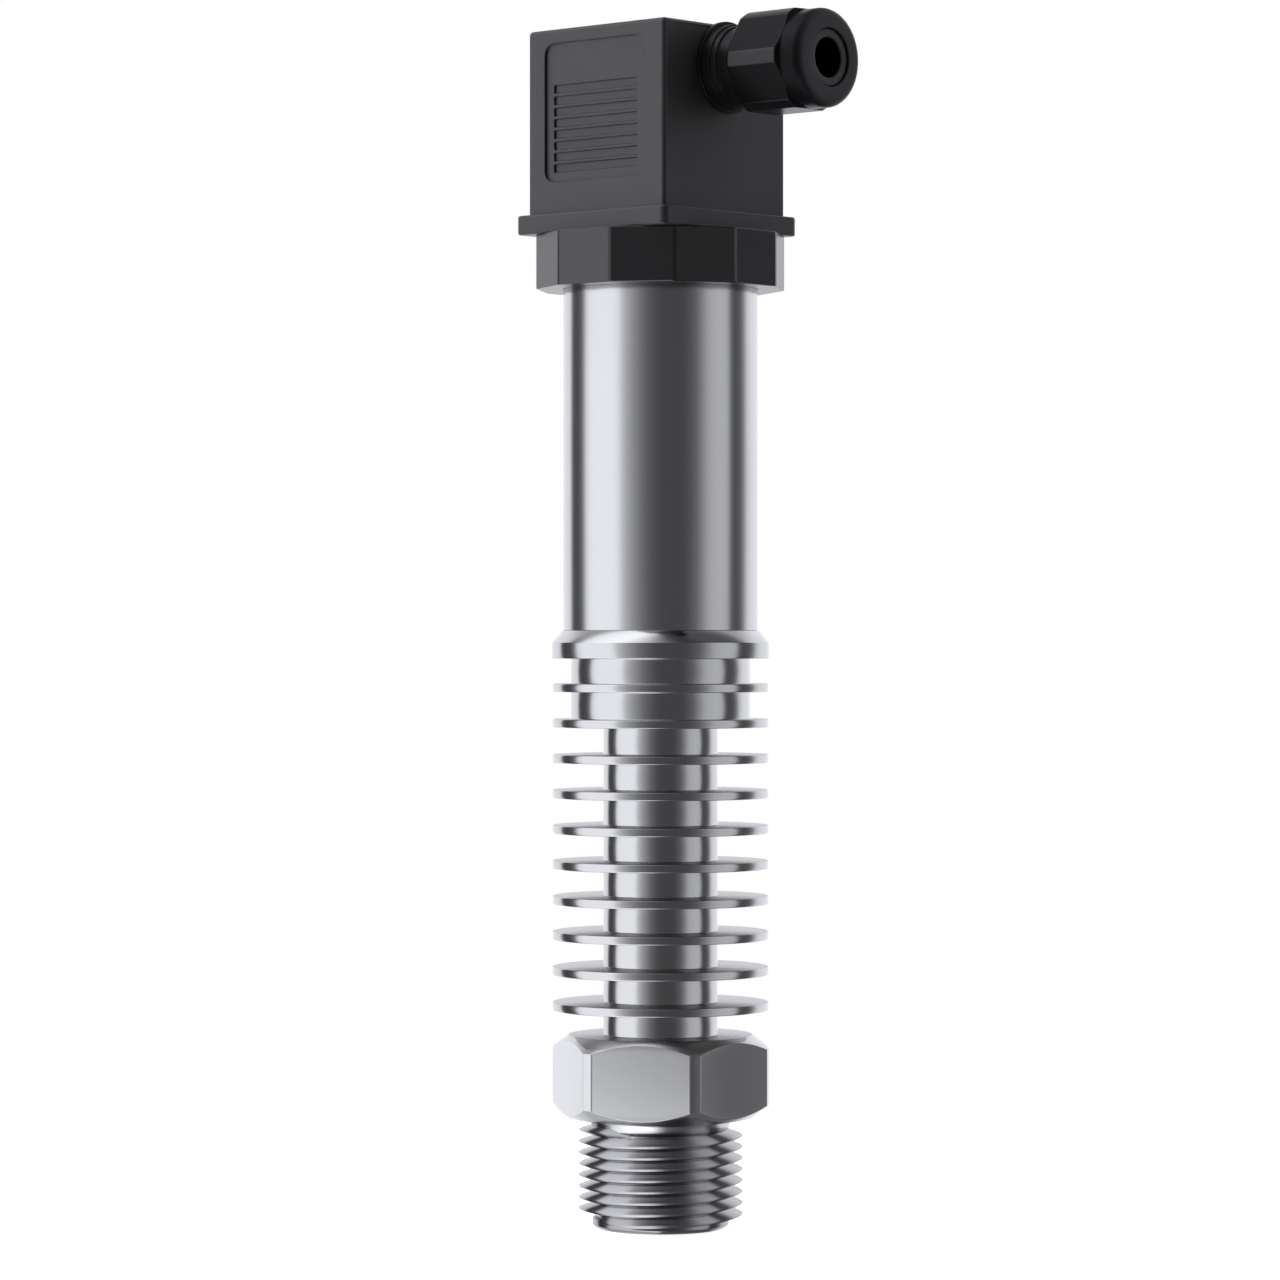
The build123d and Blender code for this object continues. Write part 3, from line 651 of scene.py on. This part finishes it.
def make_floor():
    """A plain white floor that keeps a soft shadow, open to the eye from below."""
    mesh = bpy.data.meshes.new("floor")
    rim = [upright(FLOOR_RADIUS, 0, angle) for angle in even_angles(FLOOR_SIDES)]
    mesh.from_pydata(rim, [], [tuple(range(FLOOR_SIDES))])
    floor = bpy.data.objects.new("floor", mesh)
    bpy.context.scene.collection.objects.link(floor)
    material = bpy.data.materials.new("floor_white")
    tree = new_tree(material)
    matt, dim = (
        node(tree, "ShaderNodeBsdfDiffuse", Color=(grey, grey, grey, 1)).outputs["BSDF"]
        for grey in (FLOOR_COLOUR, FLOOR_BOUNCE)
    )
    glow = node(tree, "ShaderNodeEmission", Strength=FLOOR_GLOW).outputs["Emission"]
    bright = node(tree, "ShaderNodeAddShader", matt, glow).outputs["Shader"]
    rays = node(tree, "ShaderNodeLightPath").outputs
    from_above = mix_shader(tree, rays["Is Camera Ray"], dim, bright)
    underside = node(tree, "ShaderNodeNewGeometry").outputs["Backfacing"]
    unseen = calculated(tree, "MAXIMUM", rays["Is Glossy Ray"], underside)
    clear = node(tree, "ShaderNodeBsdfTransparent").outputs["BSDF"]
    node(tree, "ShaderNodeOutputMaterial", Surface=mix_shader(tree, unseen, from_above, clear))
    floor.data.materials.append(material)


def start_material(name, **surface_values):
    """A material with a surface, and the object's own coordinates in metres."""
    material = bpy.data.materials.new(name)
    tree = new_tree(material)
    surface = node(tree, "ShaderNodeBsdfPrincipled", **surface_values)
    node(tree, "ShaderNodeOutputMaterial", Surface=surface.outputs["BSDF"])
    place = node(tree, "ShaderNodeTexCoord").outputs["Object"]
    return material, tree, surface.inputs, place


def stretched_noise(tree, place, scale, detail=3.0):
    """Noise whose grains are long where the scale is small."""
    mapped = node(tree, "ShaderNodeMapping", Vector=place, Scale=scale).outputs["Vector"]
    noise = node(tree, "ShaderNodeTexNoise", Vector=mapped, Scale=1.0, Detail=detail)
    return noise.outputs["Fac"]


def clouds(tree, place, scale):
    """Broad, even noise."""
    return stretched_noise(tree, place, (scale, scale, scale), detail=2.0)


def from_axis(tree, place, across, height=0.0):
    """Distance from an axis at a height; across is 1 in the two directions across it."""
    offset = vector(tree, "SUBTRACT", place, (0, 0, height * MM))
    return measured(tree, "LENGTH", vector(tree, "MULTIPLY", offset, across))


def turning_marks(tree, place, grain=TURNED_GRAIN):
    """Noise in lines that run round the axis, on sides and end faces alike."""
    at = components(tree, place)
    along = calculated(tree, "ADD", from_axis(tree, place, (1, 1, 0)), at["Z"])
    turned_place = node(tree, "ShaderNodeCombineXYZ", at["X"], at["Y"], along)
    scale = (ALONG_TURNING, ALONG_TURNING, grain)
    return stretched_noise(tree, turned_place.outputs["Vector"], scale)


def vary_roughness(tree, surface, value, roughness, share):
    """Varies the roughness by a share of itself to each side."""
    varied = spread(tree, value, roughness * (1 - share), roughness * (1 + share))
    feed(tree, surface["Roughness"], varied)
    return varied


def add_bump(tree, surface, height, strength, distance):
    """Fine relief on a surface."""
    bump = node(tree, "ShaderNodeBump", Height=height, Strength=strength, Distance=distance)
    feed(tree, surface["Normal"], bump.outputs["Normal"])


def tint(tree, surface, value, first, second):
    """Blends the base colour from one colour to another."""
    feed(tree, surface["Base Color"], blend_colour(tree, value, first, second))


def scaled(levels, share):
    """A colour's channels, or other levels, made darker or lighter."""
    return tuple(share * level for level in levels)


def steel(name, base, roughness, grain, strength):
    """Stainless steel with fine marks that run round its axis."""
    material, tree, surface, place = start_material(name, Metallic=1.0)
    marks = turning_marks(tree, place, grain)
    cloud = clouds(tree, place, STEEL_CLOUD)
    tint(tree, surface, cloud, scaled(STEEL_DARK, base), scaled(STEEL_LIGHT, base))
    vary_roughness(tree, surface, marks, roughness, STEEL_VARIATION)
    add_bump(tree, surface, marks, strength, STEEL_RELIEF)
    return material


def body_steel(name):
    """The turned body: fine marks, duller end faces, a darker pilot and ground flats."""
    material, tree, surface, place = start_material(name, Metallic=1.0)
    marks = turning_marks(tree, place)
    scratches = stretched_noise(tree, place, SCRATCHES, detail=5.0)
    height = components(tree, place)["Z"]
    normal = node(tree, "ShaderNodeNewGeometry").outputs["Normal"]
    tilt = calculated(tree, "ABSOLUTE", components(tree, normal)["Z"])
    end_face = ramp(tree, tilt, *END_FACE_TILT)
    on_hexagon = calculated(
        tree, "MULTIPLY", within(tree, height, HEX_BOTTOM, HEX_TOP), ramp(tree, tilt, *SIDE_TILT)
    )
    radius = from_axis(tree, place, (1, 1, 0))
    inside_bar = ramp_mm(tree, radius, *(HEX_BAR_RADIUS + fade for fade in BAR_FADE))
    flats = calculated(tree, "MULTIPLY", on_hexagon, inside_bar)
    pilot = within(tree, height, *PILOT_REACH)
    cloud = clouds(tree, place, STEEL_CLOUD)
    level = blend(tree, cloud, *scaled(BODY_SHARES, BODY_BRIGHTNESS))
    level = blend(tree, end_face, level, BODY_BRIGHTNESS * END_FACE_SHARE)
    level = blend(tree, pilot, level, BODY_BRIGHTNESS * PILOT_SHARE)
    level = blend(tree, flats, level, blend(tree, scratches, *GROUND_BRIGHTNESS))
    feed(tree, surface["Base Color"], level)
    rough = vary_roughness(tree, surface, marks, BODY_ROUGHNESS, STEEL_VARIATION)
    rough = blend(tree, end_face, rough, END_FACE_ROUGHNESS)
    feed(tree, surface["Roughness"], blend(tree, flats, rough, GROUND_ROUGHNESS))
    feed(tree, surface["Anisotropic"], flats)
    surface["Anisotropic Rotation"].default_value = GROUND_GRAIN_TURN
    tangent = node(tree, "ShaderNodeTangent", direction_type="RADIAL", axis="Z")
    feed(tree, surface["Tangent"], tangent.outputs["Tangent"])
    add_bump(tree, surface, blend(tree, flats, marks, scratches), BODY_BUMP, STEEL_RELIEF)
    return material


def thread_steel_painted_shade(name):
    """The thread: painted shade darkens it between the turns, and it is shaded a little like a
    plain round bar.
    """
    material, tree, surface, place = start_material(name, Metallic=1.0)
    radius = from_axis(tree, place, (1, 1, 0))
    # Painted shade: the colour darkens from the crest down to the root
    depth = ramp_mm(tree, radius, THREAD_ROOT, THREAD_CREST)
    tint(tree, surface, depth, *THREAD_PAINTED_SHADE_COLOURS)
    feed(tree, surface["Roughness"], spread(tree, turning_marks(tree, place), *THREAD_ROUGHNESS))
    outward = vector(tree, "NORMALIZE", vector(tree, "MULTIPLY", place, (1, 1, 0)))
    bar = vector(tree, "SCALE", outward, Scale=THREAD_SOFTNESS)
    normal = node(tree, "ShaderNodeNewGeometry").outputs["Normal"]
    feed(tree, surface["Normal"], vector(tree, "NORMALIZE", vector(tree, "ADD", normal, bar)))
    return material


def coloured_metal(name, colour, roughness):
    """Coloured metal with a fine drawn grain."""
    material, tree, surface, place = start_material(name, Metallic=1.0)
    marks = stretched_noise(tree, place, DRAWN_GRAIN)
    tint(tree, surface, marks, scaled(colour, METAL_DARK_SHARE), colour)
    vary_roughness(tree, surface, marks, roughness, DRAWN_VARIATION)
    add_bump(tree, surface, marks, METAL_BUMP, STEEL_RELIEF)
    return material


def moulded(name, colour, roughness, grain, strength, gloss, finish_with_painted_light=None):
    """Moulded plastic or rubber with a fine grain."""
    material, tree, surface, place = start_material(name, Metallic=0.0)
    surface["Specular IOR Level"].default_value = gloss
    fine = stretched_noise(tree, place, (grain, grain, grain), detail=4.0)
    cloud = clouds(tree, place, PLASTIC_CLOUD)
    tint(tree, surface, cloud, *(scaled(colour, share) for share in PLASTIC_SHARES))
    vary_roughness(tree, surface, fine, roughness, PLASTIC_VARIATION)
    add_bump(tree, surface, fine, strength, PLASTIC_RELIEF)
    # A finish given here paints light and shade: a paler gland front, a darker hub and cable hole
    if finish_with_painted_light:
        finish_with_painted_light(tree, surface, place, gloss)
    return material


def base_colour(surface):
    """The output that feeds the base colour so far."""
    return surface["Base Color"].links[0].from_socket


def painted_bore_shade(tree, surface, place, gloss):
    """Painted shade: blackens the cable hole inside the rubber sleeve, and dulls its gloss."""
    radius = from_axis(tree, place, (0, 1, 1), GLAND_AXIS)
    clear_of_painted_shade = ramp_mm(tree, radius, *(CABLE_HOLE_RADIUS + fade for fade in BORE_PAINTED_SHADE_FADE))
    tint(tree, surface, clear_of_painted_shade, BORE_PAINTED_SHADE_COLOUR, base_colour(surface))
    feed(tree, surface["Specular IOR Level"], spread(tree, clear_of_painted_shade, BORE_GLOSS, gloss))


def gland_gloss_and_painted_light(tree, surface, place, gloss):
    """Painted light that makes the gland nut's front paler, and shinier edges between its flats.
    """
    radius = from_axis(tree, place, (0, 1, 1), GLAND_AXIS)
    edge = ramp_mm(tree, radius, *(GLAND_NUT_BAR_RADIUS + fade for fade in GLAND_EDGE_FADE))
    feed(tree, surface["Specular IOR Level"], spread(tree, edge, gloss, GLAND_GLOSS[1]))
    # Painted light: the front is painted paler than the side
    end = GLAND_FRONT + CONNECTOR_SHIFT
    front = ramp_mm(tree, components(tree, place)["X"], end - GLAND_FRONT_PAINTED_LIGHT_FADE, end)
    tint(tree, surface, front, GLAND_SIDE_COLOUR, GLAND_FRONT_PAINTED_LIGHT_COLOUR)


def painted_hub_shade(tree, surface, place, gloss):
    """Painted shade: darkens and dulls the gland's hub, past the cube's side."""
    side = HOUSING_HIGH.y + CONNECTOR_SHIFT
    hub_shade_share = ramp_mm(tree, components(tree, place)["X"], *(side + fade for fade in HUB_PAINTED_SHADE_FADE))
    tint(tree, surface, hub_shade_share, base_colour(surface), HUB_PAINTED_SHADE_COLOUR)
    feed(tree, surface["Specular IOR Level"], spread(tree, hub_shade_share, gloss, HUB_GLOSS))


def make_materials():
    """One finish for each slot of the record, and the thread's."""
    # These paint light and shade onto their slots: a paler gland front, a darker hub and a black
    # cable hole
    finishes_with_painted_light = {
        "housing_plastic": painted_hub_shade,
        "gland_plastic": gland_gloss_and_painted_light,
        "grommet_rubber": painted_bore_shade,
    }
    made = {
        "turned_steel": body_steel("turned_steel"),
        "thread_steel_painted_shade": thread_steel_painted_shade("thread_steel_painted_shade"),
    }
    for name, values in STEELS.items():
        made[name] = steel(name, *values)
    for name, values in COLOURED_METALS.items():
        made[name] = coloured_metal(name, *values)
    for name, values in PLASTICS.items():
        made[name] = moulded(name, *values, finishes_with_painted_light.get(name))
    return made


def body_profile(angle):
    """Outline of the turned body at one angle: only the hexagon changes with it."""
    reach = polygon_radius(HEX_WIDTH, HEX_SIDES, 0, HEX_BAR_RADIUS, angle)
    slope = HEX_CHAMFER / (HEX_BAR_RADIUS - HEX_FACE_RADIUS)
    rise = (reach - HEX_FACE_RADIUS) * slope
    points = [
        (PORT_RADIUS, 0, CRISP_EDGE),
        (PILOT_RADIUS - PILOT_CHAMFER, 0, CRISP_EDGE),
        (PILOT_RADIUS, PILOT_CHAMFER, EDGE),
        (PILOT_RADIUS, THREAD_BOTTOM, EDGE),
        (CORE_RADIUS, THREAD_BOTTOM + CORE_TAPER, EDGE),
        (CORE_RADIUS, THREAD_TOP - CORE_TAPER, EDGE),
        (RELIEF_RADIUS - RELIEF_TAPER, THREAD_TOP, EDGE),
        (RELIEF_RADIUS + RELIEF_TAPER, HEX_BOTTOM, RELIEF_FILLET),
        (HEX_FACE_RADIUS, HEX_BOTTOM, EDGE),
        (reach, HEX_BOTTOM + rise, CRISP_EDGE),
        (reach, HEX_TOP - rise, CRISP_EDGE),
        (HEX_FACE_RADIUS, HEX_TOP, EDGE),
        (STEM_RADIUS, HEX_TOP, EDGE),
    ]
    for index in range(FIN_COUNT):
        middle = HEX_TOP + FIN_START + index * FIN_PITCH
        below = NECK_RADIUS if index > FIN_COUNT - NECK_FINS else STEM_RADIUS
        above = NECK_RADIUS if index >= FIN_COUNT - NECK_FINS else STEM_RADIUS
        points += [
            (below, middle - FIN_THICKNESS / 2, EDGE),
            (FIN_RADIUS, middle - FIN_THICKNESS / 2, EDGE),
            (FIN_RADIUS, middle + FIN_THICKNESS / 2, EDGE),
            (above, middle + FIN_THICKNESS / 2, EDGE),
        ]
    flange_bottom = middle + NECK_END
    flange_top = flange_bottom + FLANGE_THICKNESS
    shoulder_top = flange_top + SHOULDER_HEIGHT
    spigot_top = shoulder_top + SPIGOT_HEIGHT
    points += [
        (NECK_RADIUS, flange_bottom, EDGE),
        (FLANGE_RADIUS, flange_bottom, EDGE),
        (FLANGE_RADIUS, flange_top, EDGE),
        (SHOULDER_RADIUS, shoulder_top, CRISP_EDGE),
        (SPIGOT_RADIUS, shoulder_top, 0),
        (SPIGOT_RADIUS, spigot_top, CRISP_EDGE),
        (POCKET_RADIUS, spigot_top, CRISP_EDGE),
        (POCKET_RADIUS, spigot_top - POCKET_DEPTH, CRISP_EDGE),
        (PORT_RADIUS, spigot_top - POCKET_DEPTH, CRISP_EDGE),
    ]
    return rounded(points, steps=2)


def make_pressure_body(materials):
    """The turned body with its hexagon and fins."""
    shell = Shell()
    angles = polygon_angles(HEX_WIDTH, HEX_SIDES, 0, HEX_BAR_RADIUS, TURN_STEPS, HEX_SOFTNESS)
    turned(shell, body_profile, angles, upright)
    shell.build("finned_body", "sensor", "turned_steel", materials, ["pressure_body"], even=False)


def thread_section():
    """One pitch of the thread: offset along the axis and share of the full depth."""
    offsets = [step / THREAD_SECTION_STEPS - 0.5 for step in range(THREAD_SECTION_STEPS + 1)]
    return [(offset, 1 - abs(2 * offset) ** THREAD_SWELL) for offset in offsets]


def make_thread(materials):
    """A right-handed thread whose ends run out into the body."""
    shell = Shell()
    first = round(THREAD_START_TURN * THREAD_STEPS)
    last = round(THREAD_END_TURN * THREAD_STEPS)
    depth = THREAD_CREST - THREAD_ROOT
    shape = thread_section()
    loops = []
    for index in range(first, last + 1):
        fade_in = min((index - first) / (THREAD_FADE_IN * THREAD_STEPS), 1)
        fade_out = min((last - index) / (THREAD_FADE_OUT * THREAD_STEPS), 1)
        full = math.sin(fade_in * math.pi / 2) * math.sin(fade_out * math.pi / 2)
        angle = 2 * math.pi * index / THREAD_STEPS
        middle = THREAD_ZERO + THREAD_PITCH * index / THREAD_STEPS
        section = [(THREAD_VALLEY + depth * share * full, offset) for offset, share in shape]
        section += [(THREAD_FOOT, 0.5), (THREAD_FOOT, -0.5)]
        loops.append(shell.loop(
            upright(radius, middle + offset * THREAD_PITCH, angle) for radius, offset in section
        ))
    shell.strips(loops)
    shell.plate(loops[0])
    shell.plate(loops[-1])
    shell.build(
        "process_thread", "sensor", "turned_steel", materials, ["pressure_body"],
        finish_with_painted_light="thread_steel_painted_shade", sharp=THREAD_SHARP, even=False,
    )


def make_tube(materials):
    """The plain tube, with its upper edge chamfered inside the nut."""
    low, high = box_mm("housing_tube")
    profile = rounded([
        (TUBE_BORE, low.z, CRISP_EDGE),
        (high.x, low.z, CRISP_EDGE),
        (high.x, high.z - TUBE_CHAMFER, CRISP_EDGE),
        (high.x - TUBE_CHAMFER, high.z, CRISP_EDGE),
        (TUBE_BORE, high.z, CRISP_EDGE),
    ])
    shell = Shell()
    turned(shell, lambda angle: profile, even_angles(TUBE_STEPS), upright)
    shell.build("steel_tube", "sensor", "tube_steel", materials, ["housing_tube"], even=False)


def make_nut(materials):
    """The twelve-sided nut."""
    low, high = box_mm("coupling_nut")
    bar_radius = NUT_WIDTH / 2 / math.cos(math.pi / NUT_SIDES) - NUT_CORNER_CUT
    turn = math.radians(NUT_TURN) + math.pi / NUT_SIDES
    socket = box_mm("housing_tube")[1].x + NUT_CLEARANCE

    def profile(angle):
        reach = polygon_radius(NUT_WIDTH, NUT_SIDES, turn, bar_radius, angle)
        return rounded([
            (socket, low.z, NUT_EDGE),
            (reach, low.z, NUT_EDGE),
            (reach, high.z, NUT_EDGE),
            (NUT_HOLE, high.z, NUT_EDGE),
            (NUT_HOLE, low.z + NUT_SOCKET, CRISP_EDGE),
            (socket, low.z + NUT_SOCKET, CRISP_EDGE),
        ])

    shell = Shell()
    angles = polygon_angles(NUT_WIDTH, NUT_SIDES, turn, bar_radius, NUT_STEPS, NUT_SOFTNESS)
    turned(shell, profile, angles, upright)
    shell.build("twelve_sided_nut", "sensor", "nut_plastic", materials, ["coupling_nut"])


def round_rectangle(middle_x, middle_y, width, height, corner, steps, first_quarter=0):
    """Outline of a rectangle with round corners, from the given quarter of the turn on."""
    outline = []
    for quarter in range(first_quarter, first_quarter + 4):
        right = 1 if quarter % 4 in (0, 3) else -1
        up = 1 if quarter % 4 in (0, 1) else -1
        for step in range(steps + 1):
            angle = math.pi / 2 * (quarter + step / steps)
            outline.append((
                middle_x + right * (width / 2 - corner) + corner * math.cos(angle),
                middle_y + up * (height / 2 - corner) + corner * math.sin(angle),
            ))
    return outline


def square_loop(half, corner, height):
    """A level rounded square about the connector's middle, starting on the -Y side."""
    outline = round_rectangle(CONNECTOR_SHIFT, 0, 2 * half, 2 * half, corner, CORNER_STEPS, -1)
    return [(x, y, height) for x, y in outline]


def panel_loop(middle_x, bottom, width, height, corner, y, steps):
    """A rounded rectangle that stands in a plane of constant y."""
    outline = round_rectangle(middle_x, bottom + height / 2, width, height, corner, steps)
    return [(x, y, z) for x, z in outline]


def round_loop(radius, height, steps, middle_x):
    """A level circle."""
    return [
        (middle_x + radius * math.cos(angle), radius * math.sin(angle), height)
        for angle in even_angles(steps)
    ]


def edge_arc(radius, steps=3):
    """Insets and drops of a rounded edge, from the side to the face."""
    angles = [math.pi / 2 * step / steps for step in range(steps + 1)]
    return [(radius * (1 - math.cos(angle)), radius * (1 - math.sin(angle))) for angle in angles]


def make_base(materials):
    """Square flange with the hub below it."""
    low, high = box_mm("connector_base")
    nut_top = box_mm("coupling_nut")[1].z
    half = (high.x - low.x) / 2
    shell = Shell()
    lower = [(inset, nut_top + drop) for inset, drop in reversed(edge_arc(BASE_EDGE))]
    upper = [(inset, high.z - drop) for inset, drop in edge_arc(BASE_EDGE)]
    rings = [
        shell.loop(square_loop(half - inset, BASE_CORNER - inset, height))
        for inset, height in lower + upper
    ]
    shell.strips(rings)
    shell.plate(rings[-1])
    hub_top = shell.loop(round_loop(HUB_RADIUS, nut_top, ROUND_STEPS, 0))
    hub_foot = shell.loop(round_loop(HUB_RADIUS, low.z, ROUND_STEPS, 0))
    shell.plate(rings[0], hub_top)
    shell.strip(hub_top, hub_foot)
    shell.plate(hub_foot)
    shell.build("square_base", "sensor", "connector_plastic", materials, ["connector_base"])


def make_housing(materials):
    """The moulded plug: cube, grooved panel, screw well, socket below and gland hub."""
    half = HOUSING_HIGH.y
    foot = HOUSING_LOW.z
    top = foot + HOUSING_HEIGHT
    shell = Shell()
    lower = [
        shell.loop(square_loop(half - inset, HOUSING_CORNER - inset, foot + drop))
        for inset, drop in reversed(edge_arc(HOUSING_FOOT_EDGE, HOUSING_FOOT_STEPS))
    ]
    upper = [
        shell.loop(square_loop(
            half - inset, HOUSING_CORNER - inset * HOUSING_TOP_CORNER_SHARE, top - drop
        ))
        for inset, drop in edge_arc(HOUSING_TOP_EDGE, HOUSING_TOP_STEPS)
    ]
    shell.strips(lower)
    shell.strips(upper)
    front, side = housing_sides(shell, lower[-1], upper[0])
    panel_face(shell, front, -half, foot)
    gland_hub(shell, side)
    screw_well(shell, upper[-1], top)
    plug_socket(shell, lower[0], foot, half)
    shell.build("plug_cube", "plug", "housing_plastic", materials, ["plug_housing"])


def housing_sides(shell, below, above):
    """Joins the cube's lower and upper outlines, and gives the -Y and +X faces, left open."""
    after_below = below[1:] + below[:1]
    after_above = above[1:] + above[:1]
    sides = list(zip(below, after_below, after_above, above))
    front = sides.pop()
    side = sides.pop(CORNER_STEPS)
    shell.faces += sides
    return front, side


def panel_face(shell, outline, face_y, foot):
    """The -Y face with its recessed panel and the grip grooves in the panel's floor."""
    middle_x = CONNECTOR_SHIFT + PANEL_SIDE_SHIFT
    bottom = foot + PANEL_BOTTOM
    floor_y = face_y + PANEL_DEPTH

    def recess(low, width, height, corner, steps, layers):
        """Loops of a recess, each grown by its first number at its depth in y."""
        return [
            shell.loop(panel_loop(
                middle_x, low - grow, width + 2 * grow, height + 2 * grow, corner + grow, y, steps
            ))
            for grow, y in layers
        ]

    layers = [(PANEL_LIP, face_y)]
    for step in range(1, PANEL_LIP_STEPS + 1):
        angle = math.pi / 2 * step / PANEL_LIP_STEPS
        layers.append((
            PANEL_LIP * (1 - math.sin(angle)), face_y + PANEL_LIP * (1 - math.cos(angle))
        ))
    layers += [(0, floor_y - GRIP_EDGE), (-GRIP_EDGE, floor_y)]
    wall = recess(bottom, PANEL_WIDTH, PANEL_HEIGHT, PANEL_CORNER, PANEL_STEPS, layers)
    shell.plate(outline, wall[0])
    shell.strips(wall)
    grip_y = floor_y + GRIP_DEPTH
    layers = [
        (GRIP_EDGE, floor_y), (0, floor_y + GRIP_EDGE),
        (0, grip_y - GRIP_EDGE), (-GRIP_EDGE, grip_y),
    ]
    mouths = []
    for index in range(GRIP_COUNT):
        low = bottom + GRIP_MARGIN + index * GRIP_PITCH
        groove = recess(low, GRIP_LENGTH, GRIP_WIDTH, GRIP_CORNER, GRIP_STEPS, layers)
        shell.strips(groove)
        shell.plate(groove[-1])
        mouths.append(groove[0])
    shell.plate(wall[-1], *mouths)


def gland_hub(shell, outline):
    """The +X face with the stepped hub and the gland's threaded tube."""
    face = shell.points[outline[0]].x - CONNECTOR_SHIFT
    profile = rounded([
        (COLLAR_RADIUS, face, 0),
        (COLLAR_RADIUS, COLLAR_END, EDGE),
        (BOSS_RADIUS, COLLAR_END, CRISP_EDGE),
        (BOSS_RADIUS, BOSS_END, EDGE),
        (STEP_RADIUS, BOSS_END, CRISP_EDGE),
        (STEP_RADIUS, STEP_END, EDGE),
        (GLAND_TUBE_RADIUS, STEP_END, CRISP_EDGE),
        (GLAND_TUBE_RADIUS, GLAND_TUBE_END, GLAND_TUBE_ROUND),
        (GROMMET_RADIUS, GLAND_TUBE_END, CRISP_EDGE),
        (GROMMET_RADIUS, GROMMET_BACK, CRISP_EDGE),
        (HUB_BORE, GROMMET_BACK, CRISP_EDGE),
        (HUB_BORE, HOUSING_WALL, 0),
    ], closed=False)
    angles = even_angles(ROUND_STEPS)
    loops = turned(shell, lambda angle: profile, angles, at_gland, closed=False)
    shell.plate(outline, loops[0])
    shell.plate(loops[-1])


def screw_well(shell, outline, top):
    """The roof with the centre screw's well."""
    edge_middle = EDGE * WELL_EDGE_MIDDLE
    levels = [
        (WELL_RADIUS + EDGE, top),
        (WELL_RADIUS + edge_middle, top - edge_middle),
        (WELL_RADIUS, top - EDGE),
        (WELL_RADIUS, top - WELL_DEPTH),
    ]
    rings = [
        shell.loop(round_loop(radius, height, WELL_STEPS, CONNECTOR_SHIFT))
        for radius, height in levels
    ]
    shell.plate(outline, rings[0])
    shell.strips(rings)
    shell.plate(rings[-1])


def plug_socket(shell, outline, foot, half):
    """The open underside that goes over the contacts."""
    inside = half - HOUSING_WALL
    walls = [
        shell.loop(square_loop(inside + SOCKET_MOUTH, SOCKET_CORNER + SOCKET_MOUTH, foot)),
        shell.loop(square_loop(inside, SOCKET_CORNER, foot + SOCKET_MOUTH)),
        shell.loop(square_loop(inside, SOCKET_CORNER, foot + SOCKET_DEPTH)),
    ]
    shell.plate(outline, walls[0])
    shell.strips(walls)
    shell.plate(walls[-1])


def make_grommet(materials):
    """The rubber sleeve whose nose shows in the gland nut."""
    profile = rounded([
        (CABLE_HOLE_RADIUS, GROMMET_BACK, CRISP_EDGE),
        (GROMMET_RADIUS, GROMMET_BACK, CRISP_EDGE),
        (GROMMET_RADIUS, GROMMET_FACE, CRISP_EDGE),
        (GROMMET_NOSE_RADIUS, GROMMET_FACE, CRISP_EDGE),
        (GROMMET_NOSE_RADIUS, GROMMET_NOSE_END, GROMMET_NOSE_ROUND),
        (CABLE_HOLE_RADIUS, GROMMET_NOSE_END, CABLE_HOLE_ROUND),
    ], steps=4)
    shell = Shell()
    turned(shell, lambda angle: profile, even_angles(ROUND_STEPS), at_gland)
    shell.build("cable_grommet", "plug", "grommet_rubber", materials, ["gland_grommet"])


def gland_nut_profile(angle):
    """Outline of the gland nut at one angle: only the hexagon changes with it."""
    reach = polygon_radius(
        GLAND_NUT_WIDTH, HEX_SIDES, GLAND_NUT_TURN, GLAND_NUT_BAR_RADIUS, angle
    )
    share = (reach - GLAND_DOME_RADIUS) / (GLAND_NUT_BAR_RADIUS - GLAND_DOME_RADIUS)
    hex_end = GLAND_HEX_END - GLAND_HEX_CHAMFER * max(share, 0.0) - GLAND_HEX_SINK
    return rounded([
        (GLAND_BORE, GLAND_NUT_BACK, CRISP_EDGE),
        (reach, GLAND_NUT_BACK, GLAND_NUT_BACK_ROUND),
        (reach, hex_end, GLAND_HEX_ROUND),
        (GLAND_DOME_RADIUS - GLAND_STEP_SINK, GLAND_HEX_END, GLAND_FINE_ROUND),
        (GLAND_DOME_RADIUS, GLAND_HEX_END + GLAND_STEP, GLAND_STEP_ROUND),
        (GLAND_DOME_RADIUS, GLAND_FRONT, GLAND_DOME_ROUND),
        (NOSE_OPENING, GLAND_FRONT, GLAND_FINE_ROUND),
        (NOSE_OPENING, WASHER_FRONT, CRISP_EDGE),
        (GLAND_BORE, WASHER_FRONT, CRISP_EDGE),
    ], steps=6)


def make_gland_nut(materials):
    """Hexagon with a rounded back, and a domed front round the nose."""
    shell = Shell()
    angles = polygon_angles(
        GLAND_NUT_WIDTH, HEX_SIDES, GLAND_NUT_TURN, GLAND_NUT_BAR_RADIUS, GLAND_STEPS,
        GLAND_SOFTNESS,
    )
    turned(shell, gland_nut_profile, angles, at_gland)
    shell.build("domed_nut", "gland_nut", "gland_plastic", materials, ["gland_nut"])


def dress_cad_nodes(materials):
    """Gives each remaining CAD node the finish of its slot."""
    slots = {entry["node"]: entry["material_slot"] for entry in frame["record"]["subparts"]}
    for name, part in frame["nodes"].items():
        part.data.materials.clear()
        part.data.materials.append(materials[slots[name]])


bpy.context.scene.view_settings.view_transform = "Standard"
make_camera()
make_world()
make_floor()
finishes_with_painted_light = make_materials()
dress_cad_nodes(finishes_with_painted_light)
make_pressure_body(finishes_with_painted_light)
make_thread(finishes_with_painted_light)
make_tube(finishes_with_painted_light)
make_nut(finishes_with_painted_light)
make_base(finishes_with_painted_light)
make_housing(finishes_with_painted_light)
make_grommet(finishes_with_painted_light)
make_gland_nut(finishes_with_painted_light)
